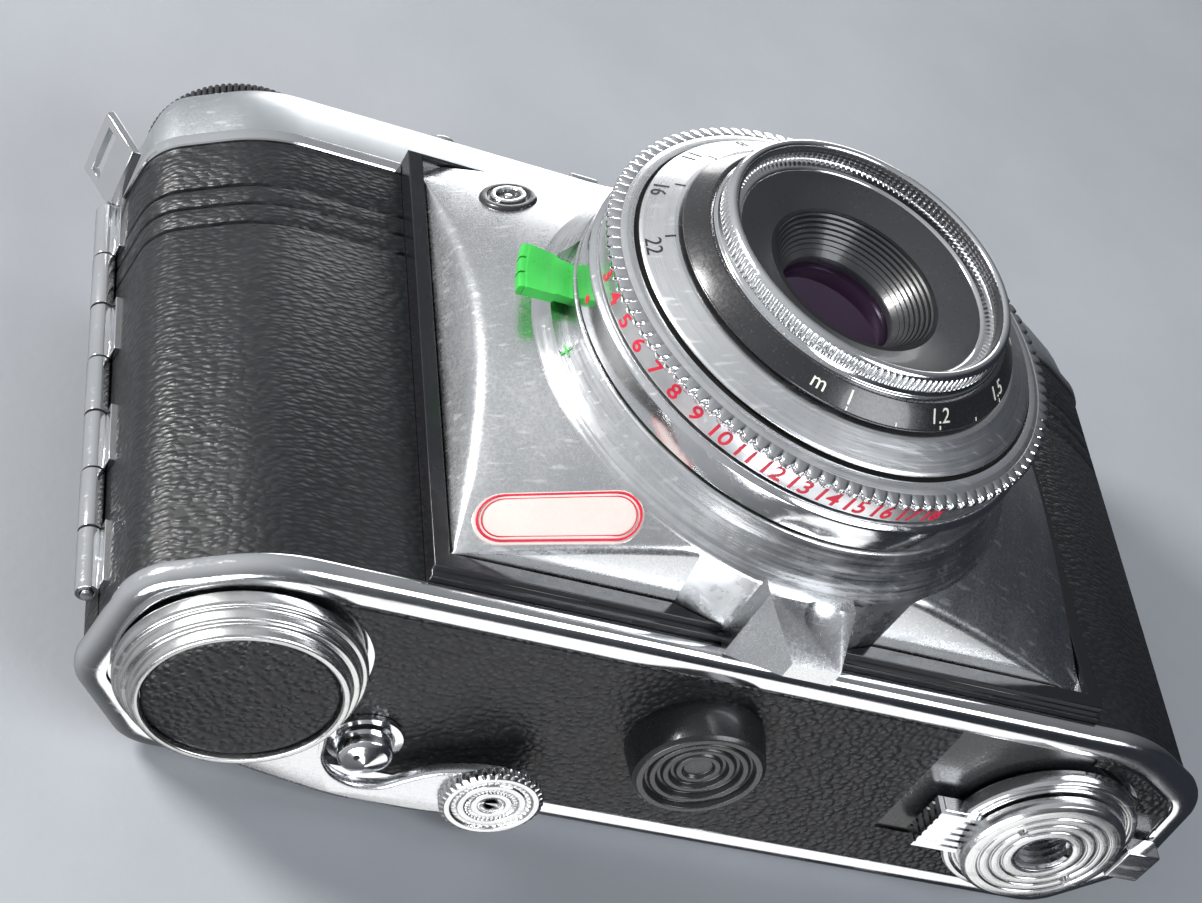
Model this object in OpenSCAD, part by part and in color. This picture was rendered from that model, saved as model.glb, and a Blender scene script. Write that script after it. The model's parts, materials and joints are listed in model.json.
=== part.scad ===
// 35 mm viewfinder camera with a leaf shutter, a bottom wind lever and a hinged back.
// Working datum: X = 0 on the lens axis, Y = 0 on the border of the front plate (the lens points to -Y),
// Z = 0 on the underside of the base plate. seat() moves everything to the part's own origin.

/* [Body] */
// Length of the base plate
body_len = 125.6; // [124:0.2:127]
// Front edge of the base plate
body_front = 0.8; // [0.6:0.1:1.2]
// Rear edge of the base plate
body_back = 32.4; // [32:0.1:33]
// Centre of the body along X, seen from the lens axis
body_cx = -2.6; // [-3:0.1:-2]
// Height of the bright rim of the base plate
base_h = 2.4; // [2:0.1:3]
// Height at which the leather ends and the top trim starts
leather_top = 59.6; // [59:0.1:60.5]
// Height of the bright trim strip
trim_h = 1.7; // [1.2:0.1:2.2]
// Height of the flat top of the top cover
cover_top = 73.4; // [72:0.1:75]
// Distance from the base plate down to the surface the camera stands on
foot_drop = 4.4; // [4:0.1:5]
// Parting line between the body and the back door
door_y = 17.5; // [17:0.1:18]

/* [Front plate] */
// Width of the front plate
plate_w = 73.6; // [72:0.2:75]
// Lower edge of the front plate
plate_z0 = 4.9; // [4.5:0.1:5.4]
// Upper edge of the front plate
plate_z1 = 60.8; // [60:0.1:61]
// Centre of the front plate along X
plate_cx = 1.4; // [0:0.1:2]
// Rise of the shallow cone per millimetre of radius
cone_slope = 0.5; // [0.4:0.05:0.6]
// Radius at which the cone meets the shutter housing
cone_r = 28.2; // [28:0.1:28.4]
// Height of the cone where it meets the shutter housing
cone_rise = 8.2; // [8:0.1:8.6]

/* [Lens and shutter] */
// Height of the lens axis
lens_z = 30.8; // [30:0.1:32]
// Radius of the shutter case
case_r = 25.6; // [25.4:0.1:25.8]
// Radius of the focus ring's front rim
rim_r = 16; // [15.8:0.1:16.2]
// Front of the focus ring
rim_y = -29.1; // [-29.4:0.1:-28.9]
// Number of teeth round the speed ring
speed_teeth = 120; // [90:6:132]
// Number of iris blades
iris_count = 5; // [5:1:5]

/* [Base features] */
// Centre of the wind lever's hub along X
hub_x = -50.4; // [-51:0.1:-50]
// Centre of the wind lever's hub along Y
hub_y = 16; // [15.8:0.1:16.2]
// Outer radius of the wind lever's hub
hub_r = 12.2; // [12:0.1:12.4]
// Centre of the tripod boss along X
tripod_x = 41.7; // [41:0.1:42]
// Centre of the tripod boss along Y
tripod_y = 16.5; // [16:0.1:17]
// Radius of the tripod boss
tripod_r = 9.2; // [9:0.1:9.4]
// Wall radius of the tripod socket's thread
thread_r = 3.175; // [3.175:0.001:3.175]

/* [Running fits] */
// Radial clearance of turning and sliding pieces
fit = 0.06; // [0.04:0.01:0.08]

/* [Hidden] */
$fn = 72;

// overall extents in the working datum, which set the part's own origin
lug_out = 2.2;
side_x = body_cx - body_len / 2;
x_low = side_x - lug_out;
x_high = side_x + body_len;
mid_x = (x_low + x_high) / 2;
mid_y = (rim_y + body_back) / 2;

// body walls, measured inwards from the base plate's outline
leather_in = 0.8;
shell_in = 1.6;
shell_t = 1.2;
inner_in = shell_in + shell_t;
block_in = inner_in + 0.5;
door_gap = 0.3;
door_z0 = base_h + 0.5;
door_z1 = leather_top - 0.3;
film_y = 25;
plate_end = 4;

// front frame
frame_w = 1.7;
frame_front = -0.7;
wall_left = 0.4;
wall_top = 0.5;
wall_bottom = 0.04;

// shutter stack along the lens axis
case_front = -17.2;
gap_y = -13.4;
case_bore = 14;
speed_boss = 20.5;
aperture_boss = 18.3;
speed_front = -21;
dist_y = -24.2;

// places of the smaller pieces
spool_r = 10.8;
cassette_r = 12.9;
sprocket = [-31, 18.6];
grip = [-20.4, 25.4];
grip_r = 5.4;
release = [-34.8, 23.6];
base_foot_at = [-2.2, 14.1];
button_at = [-27.5, 11.5];
dial_at = [-50, 18.6];
dial_r = 10.6;
seat_r = 10.2;
shoe_at = [-1.5, 17.5];
finder_at = [4, 66.4];
hinge_at = [side_x + 0.1, door_y + 0.05];
hinge_r = 1.2;
hinge_z0 = 6;
hinge_z1 = 59;
knuckles = 7;
flash_at = [-27.4, 53.3];
badge_at = [-25.8, 8.3];
gear_z = 60.4;
gear_h = 1.6;
fork_well_r = 4.8;
bridge_z = 63.2;

corners = [[-50, body_front], [50, body_front], [61.3, 7.2], [body_len / 2, 22.5],
    [54.5, body_back], [-54.5, body_back], [-body_len / 2, 22.5], [-61.3, 7.2]];
corner_r = [18, 18, 7, 6, 6, 6, 6, 7];

function dir(p, q) = (q - p) / norm(q - p);
function left_of(d) = [-d[1], d[0]];

// corner of a polygon whose edges have all moved inwards by d
function moved_corner(prev, here, next, d) =
    let (a = left_of(dir(prev, here)), b = left_of(dir(here, next))) here + (a + b) * d / (1 + a * b);

// arc points that round one corner
function arc_points(prev, here, next, r, steps) =
    let (a = dir(prev, here), b = dir(here, next), t = r * sqrt((1 - a * b) / (1 + a * b)),
        start = here - a * t, centre = start + left_of(a) * r,
        a0 = atan2(start[1] - centre[1], start[0] - centre[0]), sweep = acos(a * b))
    [for (k = [0 : steps]) centre + r * [cos(a0 + sweep * k / steps), sin(a0 + sweep * k / steps)]];

// outline of the body in plan, moved inwards by d
function body_points(d, steps = 6) =
    let (n = len(corners), p = [for (i = [0 : n - 1])
            moved_corner(corners[(i + n - 1) % n], corners[i], corners[(i + 1) % n], d)])
    [for (i = [0 : n - 1])
        each arc_points(p[(i + n - 1) % n], p[i], p[(i + 1) % n], max(corner_r[i] - d, 0.4), steps)];

module seat() { translate([-mid_x, -mid_y, foot_drop]) children(); }

module body_outline(d) { translate([body_cx, 0]) polygon(body_points(d)); }

module slab(z0, z1) { translate([0, 0, z0]) linear_extrude(z1 - z0) children(); }

module box(low, high) { translate(low) cube(high - low); }

module band(y0, y1) { translate([-100, y0]) square([200, y1 - y0]); }

// a turned piece on the lens axis; each point of the profile is [radius, y]
module turned(profile) {
    translate([0, 0, lens_z]) rotate([90, 0, 0]) rotate_extrude($fn = 96)
        polygon([for (p = profile) [p[0], -p[1]]]);
}

module ring_on_axis(r_out, r_in, y_front, y_back) {
    turned([[r_in, y_back], [r_out, y_back], [r_out, y_front], [r_in, y_front]]);
}

module post(at, r, z0, z1) { translate([at[0], at[1], z0]) cylinder(r = r, h = z1 - z0); }

module tube(at, r_out, r_in, z0, z1) {
    difference() {
        post(at, r_out, z0, z1);
        post(at, r_in, z0 - 1, z1 + 1);
    }
}

// flat ring with teeth round its rim, as a polygon
module toothed(r_root, r_tip, teeth, width) {
    step = 360 / teeth;
    polygon([for (i = [0 : teeth - 1], k = [[-0.5, r_root], [-width / 2, r_tip], [width / 2, r_tip]])
        k[1] * [cos((i + k[0]) * step), sin((i + k[0]) * step)]]);
}

// gear with straight-sided teeth, a clear backlash, and its first tooth at the given angle
module gear(at, teeth, module_size, angle, bore) {
    pitch_r = teeth * module_size / 2;
    step = 360 / teeth;
    profile = [[-0.30, -1.25], [-0.19, 0], [-0.08, 0.8], [0.08, 0.8], [0.19, 0], [0.30, -1.25]];
    translate([at[0], at[1], gear_z]) rotate(angle) difference() {
        linear_extrude(gear_h) polygon([for (i = [0 : teeth - 1], p = profile)
            (pitch_r + p[1] * module_size) * [cos((i + p[0]) * step), sin((i + p[0]) * step)]]);
        translate([0, 0, -1]) cylinder(r = bore, h = gear_h + 2);
    }
}

// ---------------------------------------------------------------- body

module chassis() {
    top = leather_top;
    chamber_z0 = base_h + plate_end;
    chamber_z1 = top - plate_end;
    color("dimgray") seat() difference() {
        union() {
            slab(base_h, top) intersection() {
                body_outline(shell_in);
                band(0, door_y - door_gap / 2);
            }
            slab(base_h, top) intersection() {
                body_outline(block_in);
                band(door_y - 1, film_y);
            }
            // bridge over the gears that the button's spring stands on
            box([button_at[0] - 5, 3.7, top - 0.1], [button_at[0] + 5, 5.4, bridge_z]);
            box([button_at[0] - 5, 3.7, bridge_z - 0.8], [button_at[0] + 5, button_at[1] + 3.4, bridge_z]);
        }
        // take-up chamber, open to the back
        post([hub_x, hub_y], spool_r, chamber_z0, chamber_z1);
        box([side_x - 5, hub_y, chamber_z0], [hub_x + spool_r, 40, chamber_z1]);
        // cassette chamber, open to the back
        post([tripod_x, tripod_y], cassette_r, chamber_z0, chamber_z1);
        box([tripod_x - cassette_r, tripod_y, chamber_z0], [x_high + 5, 40, chamber_z1]);
        // sprocket pocket
        post(sprocket, 7.2, chamber_z0, chamber_z1);
        box([sprocket[0] - 7.2, sprocket[1], chamber_z0], [sprocket[0] + 7.2, 40, chamber_z1]);
        // light tunnel and the seat of the shutter
        box([-20, 4.4, lens_z - 15], [20, 23, lens_z + 15]);
        box([-18, 22, lens_z - 12], [18, 30, lens_z + 12]);
        translate([0, 10, lens_z]) rotate([90, 0, 0]) cylinder(r = 15, h = 20);
        // shaft bores
        post([hub_x, hub_y], 2 + fit, 0, top + 1);
        post(sprocket, 1.5 + fit, 0, top + 1);
        post([tripod_x, tripod_y], fork_well_r, chamber_z1 - 1, top + 1);
        post([tripod_x, tripod_y], 6.8, 0, base_h + 2);
        post(release, 1.8 + fit, 0, chamber_z0 + 1);
    }
}

module film_gate() {
    color("silver") seat() {
        for (side = [-1, 1]) {
            // inner film rails and outer guide rails
            box([-21, film_y, lens_z + side * 13.6 - 0.8], [24, film_y + 0.15, lens_z + side * 13.6 + 0.8]);
            box([-21, film_y, lens_z + side * 18.6 - 1], [24, film_y + 0.25, lens_z + side * 18.6 + 1]);
        }
    }
}

module front_leather(low_x, high_x) {
    color([0.09, 0.09, 0.10]) seat() difference() {
        slab(base_h, leather_top) intersection() {
            difference() {
                body_outline(leather_in);
                body_outline(shell_in);
            }
            translate([low_x, -5]) square([high_x - low_x, door_y - door_gap / 2 + 5]);
        }
        box([side_x - 1, door_y - 2.8, hinge_z0 - 0.3], [side_x + 2.2, door_y + 1, hinge_z1 + 0.3]);
    }
}

module front_leather_left() { front_leather(-90, plate_cx - plate_w / 2 - frame_w - 0.05); }

module front_leather_right() { front_leather(plate_cx + plate_w / 2 + frame_w + 0.05, 90); }

module front_frame() {
    x0 = plate_cx - plate_w / 2;
    x1 = plate_cx + plate_w / 2;
    color([0.05, 0.05, 0.06]) seat() difference() {
        union() {
            box([x0 - frame_w, frame_front, plate_z0 - frame_w], [x1 + frame_w, 2.4, plate_z1 + 0.5]);
            box([x0 - frame_w, 0.1, base_h], [x1 + frame_w, 2.4, plate_z0]);
        }
        box([x0, -3, plate_z0], [x1, 5, plate_z1]);
        translate([0, 10, lens_z]) rotate([90, 0, 0]) cylinder(r = cone_r + 0.06, h = 20);
    }
}

// the solid of the front plate: a shallow cone trimmed by four steep walls
module plate_solid() {
    reach = cone_r + cone_rise / cone_slope;
    x0 = plate_cx - plate_w / 2 + 0.1;
    x1 = plate_cx + plate_w / 2 - 0.1;
    z0 = plate_z0 + 0.1;
    z1 = plate_z1 - 0.1;
    intersection() {
        turned([[0, 2.4], [reach * 1.3, 2.4], [reach * 1.3, 0.15], [reach, 0], [cone_r, -cone_rise],
            [0, -cone_rise]]);
        box([x0, -40, z0], [x1, 5, z1]);
        translate([x0, 0, -20]) rotate([0, 0, atan(wall_left)]) translate([0, -40, 0]) cube([150, 80, 120]);
        translate([x1, 0, -20]) rotate([0, 0, -atan(wall_left)]) translate([-150, -40, 0]) cube([150, 80, 120]);
        translate([-80, 0, z0]) rotate([-atan(wall_bottom), 0, 0]) translate([0, -40, 0]) cube([160, 80, 120]);
        translate([-80, 0, z1]) rotate([atan(wall_top), 0, 0]) translate([0, -40, -120]) cube([160, 80, 120]);
    }
}

module front_plate() {
    color([0.78, 0.79, 0.80]) seat() difference() {
        plate_solid();
        box([-34, 0.2, 6], [36, 3, plate_z1 - 1.2]);
        translate([0, 10, lens_z]) rotate([90, 0, 0]) cylinder(r = cone_r + 0.04, h = 40);
        translate([flash_at[0], 5, flash_at[1]]) rotate([90, 0, 0]) cylinder(r = 3.1, h = 20);
    }
}

// direction in which the cone faces at a place on it
badge_turn = atan2(badge_at[1] - lens_z, badge_at[0]);
badge_rad = norm([badge_at[0], badge_at[1] - lens_z]);

module badge() {
    y_here = -cone_rise + cone_slope * (badge_rad - cone_r);
    normal_tilt = atan(cone_slope);
    axis_dir = [sin(badge_turn), 0, -cos(badge_turn)];
    color([0.80, 0.66, 0.64]) seat() translate([badge_at[0], y_here - 0.05, badge_at[1]])
        rotate(a = -normal_tilt, v = axis_dir) rotate([90, 0, 0]) linear_extrude(0.5) {
            square([10.4, 5.2], center = true);
            for (side = [-1, 1]) translate([side * 5.2, 0]) circle(r = 2.6);
        }
}

module flash_socket() {
    color([0.35, 0.35, 0.36]) seat() translate([flash_at[0], 0, flash_at[1]]) rotate([90, 0, 0]) {
        difference() {
            translate([0, 0, -2.4]) cylinder(r = 2, h = 6.2);
            cylinder(r = 1.35, h = 6);
        }
        translate([0, 0, -2.4]) cylinder(r = 0.5, h = 5.6);
    }
}

module front_foot() {
    // tapered block under the front plate that reaches the standing plane
    color([0.80, 0.81, 0.82]) seat() difference() {
        hull() {
            box([-5.8, -9.2, 1], [3.8, body_front, 4.5]);
            box([-2.6, -6.2, -foot_drop], [2.8, -4.1, -foot_drop + 0.8]);
        }
        box([-20, 0.1, base_h], [20, 3, 8]);
        box([-20, frame_front, plate_z0 - frame_w], [20, 3, 8]);
        translate([0, 1, lens_z]) rotate([90, 0, 0]) cylinder(r = cone_r, h = 20);
    }
}

// ---------------------------------------------------------------- shutter and lens

module shutter_housing() {
    color([0.62, 0.63, 0.65]) seat() difference() {
        turned([[24.95, 2.4], [cone_r, 2.4], [cone_r, -cone_rise], [27.1, -9.8], [26.2, -11.6],
            [case_r, gap_y + 0.1], [24.95, gap_y + 0.1]]);
        // slot for the sync lever
        translate([0, 0, lens_z]) rotate([90, 0, 0]) rotate([0, 0, 160]) rotate_extrude(angle = 32)
            translate([20, 10.2]) square([15, 2.9]);
    }
}

module shutter_case() {
    color([0.80, 0.81, 0.83]) seat() difference() {
        turned([[case_bore, 2.4], [23.8, 2.4], [23.8, gap_y], [25, gap_y], [25, gap_y - 0.3],
            [case_r, gap_y - 0.3], [case_r, case_front + 0.4], [case_r - 0.4, case_front],
            [speed_boss, case_front], [speed_boss, speed_front], [aperture_boss, speed_front],
            [aperture_boss, -23.6], [case_bore, -23.6]]);
        // space for the shutter works
        ring_on_axis(22.3, 15.6, -12.4, 3);
    }
}

module lens_barrel() {
    color([0.08, 0.08, 0.09]) seat()
        turned([[9.6, -17.5], [case_bore - fit, -17.5], [case_bore - fit, -23.9], [12, -23.9],
            [12, -24.8], [10.9, -24.8], [9.6, -23.9]]);
}

module rear_cell() {
    color([0.08, 0.08, 0.09]) seat()
        turned([[8.2, -5], [case_bore - fit, -5], [case_bore - fit, -12.9], [9, -12.9], [8.2, -12.2]]);
}

// biconvex glass on the lens axis
module glass(r, edge_front, edge_back, bulge) {
    steps = 5;
    turned(concat([for (i = [0 : steps]) [r * i / steps, edge_back + bulge * (1 - pow(i / steps, 2))]],
        [for (i = [steps : -1 : 0]) [r * i / steps, edge_front - bulge * (1 - pow(i / steps, 2))]]));
}

module rear_lens() { color([0.55, 0.60, 0.72, 0.5]) seat() glass(8.2, -11.2, -8.6, 0.9); }

module front_lens() { color([0.45, 0.42, 0.62, 0.5]) seat() glass(6.9, -20.58, -18.9, 0.8); }

module shutter_blades() {
    color([0.16, 0.16, 0.18]) seat() translate([0, 0, lens_z]) rotate([90, 0, 0])
        for (i = [0 : 2]) rotate([0, 0, 120 * i + 1]) rotate_extrude(angle = 118)
            translate([0.3, 13.5]) square([case_bore - 0.3, 0.2]);
}

// one iris blade: a crescent with its pivot at the near end
module iris_blade(i) {
    ring_r = 11.4;
    half_w = 1.6;
    span = 95;
    color([0.12, 0.12, 0.14]) seat() translate([0, 0, lens_z]) rotate([90, 0, 0]) rotate([0, 0, 360 / iris_count * i])
        translate([0, 0, 14.6 + 0.28 * i]) {
            rotate_extrude(angle = span) translate([ring_r - half_w, 0]) square([2 * half_w, 0.14]);
            for (a = [0, span]) rotate([0, 0, a]) translate([ring_r, 0, 0]) cylinder(r = half_w, h = 0.14);
        }
}

module iris_blade_1() { iris_blade(0); }

module iris_blade_2() { iris_blade(1); }

module iris_blade_3() { iris_blade(2); }

module iris_blade_4() { iris_blade(3); }

module iris_blade_5() { iris_blade(4); }

module speed_ring() {
    color([0.86, 0.87, 0.88]) seat() {
        turned([[speed_boss + fit, -17.5], [24.9, -17.5], [24.9, speed_front], [23.6, -21.4], [22.9, -21.45],
            [22.9, -21.2], [speed_boss + fit, -21.2]]);
        translate([0, 0, lens_z]) rotate([90, 0, 0]) translate([0, 0, 19.5]) linear_extrude(1.4) difference() {
            toothed(25, 25.6, speed_teeth, 0.5);
            circle(r = 24.5);
        }
    }
}

module aperture_ring() {
    color([0.90, 0.91, 0.92]) seat()
        turned([[aperture_boss + fit, -21.5], [22.6, -21.55], [22.6, -22], [19.4, -23.7],
            [aperture_boss + fit, -23.7]]);
}

module distance_scale() {
    color([0.05, 0.05, 0.06]) seat()
        turned([[16.6, dist_y], [19, dist_y], [19, dist_y - 0.3], [17, -26.3], [16.6, -26.3]]);
}

module focus_ring() {
    color([0.84, 0.85, 0.87]) seat()
        turned([[12 + fit, -24.1], [16.6, -24.1], [16.6, -26.4], [rim_r + 0.4, -26.4], [rim_r + 0.4, -27],
            [rim_r + 0.2, -27], [rim_r + 0.2, rim_y + 0.4], [rim_r - 0.2, rim_y], [14.4, rim_y],
            [13.7, rim_y + 0.9], [13.7, -25.2], [12 + fit, -25.2]]);
}

module name_ring() {
    color([0.10, 0.10, 0.11]) seat()
        turned([[13.7, -27.1], [9.2, -25.6], [6.4, -21.8], [6.4, -20.7], [7.4, -20.7], [8.8, -24.2],
            [13.7, -26.2]]);
}

module sync_lever() {
    color([0.15, 0.65, 0.20]) seat() translate([0, 0, lens_z]) rotate([90, 0, 0]) {
        translate([0, 0, 10.7]) difference() {
            cylinder(r = 24.7, h = 1.8);
            translate([0, 0, -1]) cylinder(r = 23.8 + fit, h = 4);
        }
        rotate([0, 0, 165]) rotate_extrude(angle = 13) {
            translate([24.4, 10.9]) square([3.2, 1]);
            translate([27, 10.3]) square([4, 1.6]);
        }
    }
}

// ---------------------------------------------------------------- base

module base_plate() {
    lip = 3.4;
    color([0.75, 0.76, 0.78]) seat() difference() {
        slab(0, base_h) body_outline(0);
        slab(-1, 0.4) body_outline(lip);
        post([hub_x, hub_y], 2 + fit, -1, base_h + 1);
        post([tripod_x, tripod_y], 6.8, -1, base_h + 1);
        post(release, 1.8 + fit, -1, base_h + 1);
    }
}

module base_leather() {
    color([0.10, 0.10, 0.11]) seat() difference() {
        slab(0, 0.4) body_outline(3.5);
        post([hub_x, hub_y], hub_r + 0.6, -1, 1);
        post([tripod_x, tripod_y], 11.4, -1, 1);
        post(release, 4, -1, 1);
        post(base_foot_at, 6.6, -1, 1);
        box([24.5, 4, -1], [tripod_x, 22.8, 1]);
        box([tripod_x, 11.4, -1], [60, 21.8, 1]);
    }
}

module base_foot() {
    color([0.04, 0.04, 0.05]) seat() translate([base_foot_at[0], base_foot_at[1], 0]) {
        translate([0, 0, -1.6]) cylinder(r1 = 6.9, r2 = 7.3, h = 1.6);
        cylinder(r = 6.5, h = 0.4);
        for (step = [0 : 3]) translate([0, 0, -foot_drop + 0.7 * (3 - step)])
            tube([0, 0], 6.7 - step * 0.9, 2 - step * 0.2, 0, foot_drop - 0.7 * (3 - step) - 1);
    }
}

module tripod_boss() {
    color([0.80, 0.80, 0.80]) seat() difference() {
        union() {
            post([tripod_x, tripod_y], tripod_r, -foot_drop, -2.6);
            post([tripod_x, tripod_y], 6.8, -2.7, base_h + 2);
        }
        post([tripod_x, tripod_y], thread_r, -foot_drop - 1, base_h + 0.6);
        for (side = [-1, 1])
            post([tripod_x + side * 5, tripod_y + side * 3.4], 0.6, -foot_drop - 1, -foot_drop + 1);
    }
}

module button_collar() { color("silver") seat() tube(release, 3.9, 3.1, -0.7, 0.4); }

module wind_lever() {
    color([0.78, 0.79, 0.80]) seat() {
        // stepped hub with a seat for the leather disc
        difference() {
            union() {
                post([hub_x, hub_y], hub_r, -1.9, -0.3);
                post([hub_x, hub_y], 11.4, -3.1, -1.9);
                post([hub_x, hub_y], 10.4, -foot_drop, -3.1);
            }
            post([hub_x, hub_y], 9.5, -foot_drop - 1, -foot_drop + 0.7);
        }
        post([hub_x, hub_y], 2, -0.4, base_h + plate_end - 0.4);
        // arm along the rear edge
        slab(-3.2, -1.9) difference() {
            polygon([[hub_x + 1, hub_y + 11.2], [-44, 28.6], [-36, 30.3], [-27, 30.4], [-17.5, 29.5],
                [-16, 26], [-22, 21.6], [-27.5, 23], [-30.5, 25.8], [-33, 28], [-36.4, 27.6],
                [-38.6, 25.4], [-39.4, 22], [hub_x + 9, hub_y]]);
            translate([release[0], release[1]]) circle(r = 3.5);
        }
    }
}

module lever_leather() {
    color([0.10, 0.10, 0.11]) seat() post([hub_x, hub_y], 9.4, -foot_drop + 0.15, -foot_drop + 0.7);
}

module lever_grip() {
    color([0.80, 0.81, 0.82]) seat() {
        translate([grip[0], grip[1], -foot_drop]) linear_extrude(foot_drop - 3.2)
            toothed(grip_r - 0.35, grip_r, 40, 0.45);
    }
}

module rewind_release_button() {
    color([0.82, 0.83, 0.85]) seat() {
        post(release, 2.8, -3.6, -0.95);
        post(release, 1.8, -1, base_h + plate_end - 0.6);
    }
}

module back_lock_ring() {
    color([0.60, 0.62, 0.63]) seat() difference() {
        union() {
            post([tripod_x, tripod_y], 10.9, -2.3, -0.15);
            box([27.4, 14.2, -2.9], [tripod_x - 8, 21.6, -0.6]);
        }
        post([tripod_x, tripod_y], 6.8 + fit, -4, 2);
        post([tripod_x, tripod_y], tripod_r + 0.1, -4, -2.4);
    }
}

module latch_button() {
    color([0.80, 0.81, 0.82]) seat() {
        box([53, 15.6, -2.6], [57.4, 20.6, -0.2]);
        box([54, 16.6, -0.3], [55.8, 19.2, 0.3]);
    }
}

// ---------------------------------------------------------------- top

module top_trim() {
    color([0.86, 0.87, 0.88]) seat() slab(leather_top, leather_top + trim_h) difference() {
        body_outline(0.5);
        body_outline(2.2);
        translate([plate_cx - plate_w / 2 - frame_w - 0.1, -4]) square([plate_w + 2 * frame_w + 0.2, 6.5]);
    }
}

// rounded outer form of the top cover: [height, distance in from the outline]
module cover_form(shrink) {
    z0 = leather_top + trim_h - (shrink > 0 ? 1 : 0);
    levels = [[z0, 1.2], [z0 + 3, 1.5], [cover_top - 5.6, 2.6], [cover_top - 3, 4.4],
        [cover_top - 1.1, 6.7], [cover_top, 9.6]];
    hull() for (level = levels)
        slab(level[0] - shrink, level[0] - shrink + 0.01) translate([body_cx, 0])
            polygon(body_points(level[1] + shrink, 3));
}

module top_cover() {
    color([0.66, 0.69, 0.71]) seat() difference() {
        union() {
            difference() {
                cover_form(0);
                cover_form(1.1);
            }
            tube(dial_at, seat_r, seat_r - 1, cover_top - 3, cover_top);
        }
        post(button_at, 3 + fit, 60, 90);
        post(dial_at, 2 + fit, 60, 90);
        post([tripod_x, tripod_y], fork_well_r, 60, 90);
        box([finder_at[0] - 7, -2, finder_at[1] - 3.6], [finder_at[0] + 7, 12, finder_at[1] + 3.6]);
        translate([finder_at[0], 40, finder_at[1]]) rotate([90, 0, 0]) cylinder(r = 4.2, h = 14);
    }
}

module accessory_shoe() {
    x0 = shoe_at[0] - 10;
    x1 = shoe_at[0] + 10;
    y0 = shoe_at[1] - 9;
    y1 = shoe_at[1] + 9;
    color([0.80, 0.81, 0.83]) seat() {
        box([x0, y0, cover_top + 0.01], [x1, y1, cover_top + 0.9]);
        for (side = [-1, 1]) {
            box([shoe_at[0] + side * 9.5 - 0.5, y0, cover_top + 0.8],
                [shoe_at[0] + side * 9.5 + 0.5, y1, cover_top + 3.6]);
            box([shoe_at[0] + side * 8.2 - 1.8, y0, cover_top + 2.8],
                [shoe_at[0] + side * 8.2 + 1.8, y1, cover_top + 3.6]);
        }
    }
}

module viewfinder_window() {
    color([0.60, 0.66, 0.72, 0.5]) seat()
        box([finder_at[0] - 7, 3.4, finder_at[1] - 3.6], [finder_at[0] + 7, 4.6, finder_at[1] + 3.6]);
}

module viewfinder_eyepiece() {
    color([0.10, 0.10, 0.11]) seat() translate([finder_at[0], 32.2, finder_at[1]]) rotate([90, 0, 0])
        difference() {
            cylinder(r = 4.2, h = 5);
            translate([0, 0, -1]) cylinder(r = 2.8, h = 7);
        }
}

module strap_lug() {
    // sheet loop that stands off the side at a slant
    color([0.72, 0.73, 0.76]) seat() difference() {
        translate([x_low + 0.7, 12.5, 63.4]) rotate([0, -30, 0]) translate([-0.45, 0, -2]) difference() {
            cube([0.9, 8.6, 6.8], center = true);
            translate([0, 0, 1.4]) cube([3, 6.4, 1.6], center = true);
        }
        slab(50, 75) body_outline(0.5);
        post(hinge_at, hinge_r + 0.1, 50, hinge_z1 + 0.4);
        box([x_low - 5, 0, 50], [x_low + 8, 30, hinge_z1]);
    }
}

module shutter_button() {
    color([0.82, 0.83, 0.84]) seat() {
        post(button_at, 2.2, cover_top + 1.7, cover_top + 4.6);
        post(button_at, 3, cover_top - 2.6, cover_top + 1.8);
        post(button_at, 3.5, cover_top - 3.8, cover_top - 2.6);
    }
}

module shutter_spring() {
    turns = 5;
    z0 = bridge_z;
    z1 = cover_top - 3.8;
    color("silver") seat() for (i = [0 : turns - 1])
        translate([button_at[0], button_at[1], z0 + (z1 - z0 - 0.6) * i / (turns - 1)])
            rotate_extrude($fn = 32) translate([2.2, 0]) square([0.6, 0.6]);
}

module counter_dial() {
    color([0.06, 0.06, 0.07]) seat() {
        translate([dial_at[0], dial_at[1], cover_top + 0.3]) linear_extrude(2.5)
            toothed(dial_r - 0.4, dial_r, 90, 0.45);
        post(dial_at, 2, cover_top - 5, cover_top + 0.4);
    }
}

module rewind_clip() {
    color("silver") seat() tube([tripod_x, tripod_y], 5, 2.5 + fit, leather_top + 1.2, leather_top + 2);
}

module rewind_knob() {
    color([0.80, 0.81, 0.82]) seat() {
        translate([tripod_x, tripod_y, cover_top + 0.4]) linear_extrude(5.2) toothed(9.1, 9.6, 60, 0.45);
        post([tripod_x, tripod_y], 8.2, cover_top + 5.6, cover_top + 6.6);
    }
}

module rewind_fork() {
    z_low = leather_top - plate_end - 6;
    color("silver") seat() {
        post([tripod_x, tripod_y], 2.5, leather_top - plate_end - 1.6, cover_top + 0.4);
        for (side = [-1, 1])
            box([tripod_x + side * 1.6 - 0.6, tripod_y - 0.8, z_low],
                [tripod_x + side * 1.6 + 0.6, tripod_y + 0.8, leather_top - plate_end - 1.5]);
    }
}

// ---------------------------------------------------------------- film transport

module take_up_spool() {
    z0 = base_h + plate_end + 0.4;
    z1 = leather_top + 0.2 - plate_end - 0.4;
    color([0.12, 0.12, 0.13]) seat() difference() {
        union() {
            post([hub_x, hub_y], 5.5, z0, z1);
            post([hub_x, hub_y], 10, z0, z0 + 1.4);
            post([hub_x, hub_y], 10, z1 - 1.4, z1);
            post([hub_x, hub_y], 2, z1 - 0.1, gear_z + gear_h);
        }
        box([hub_x - 0.6, hub_y - 9, lens_z - 8], [hub_x + 0.6, hub_y + 9, lens_z + 8]);
    }
}

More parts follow.
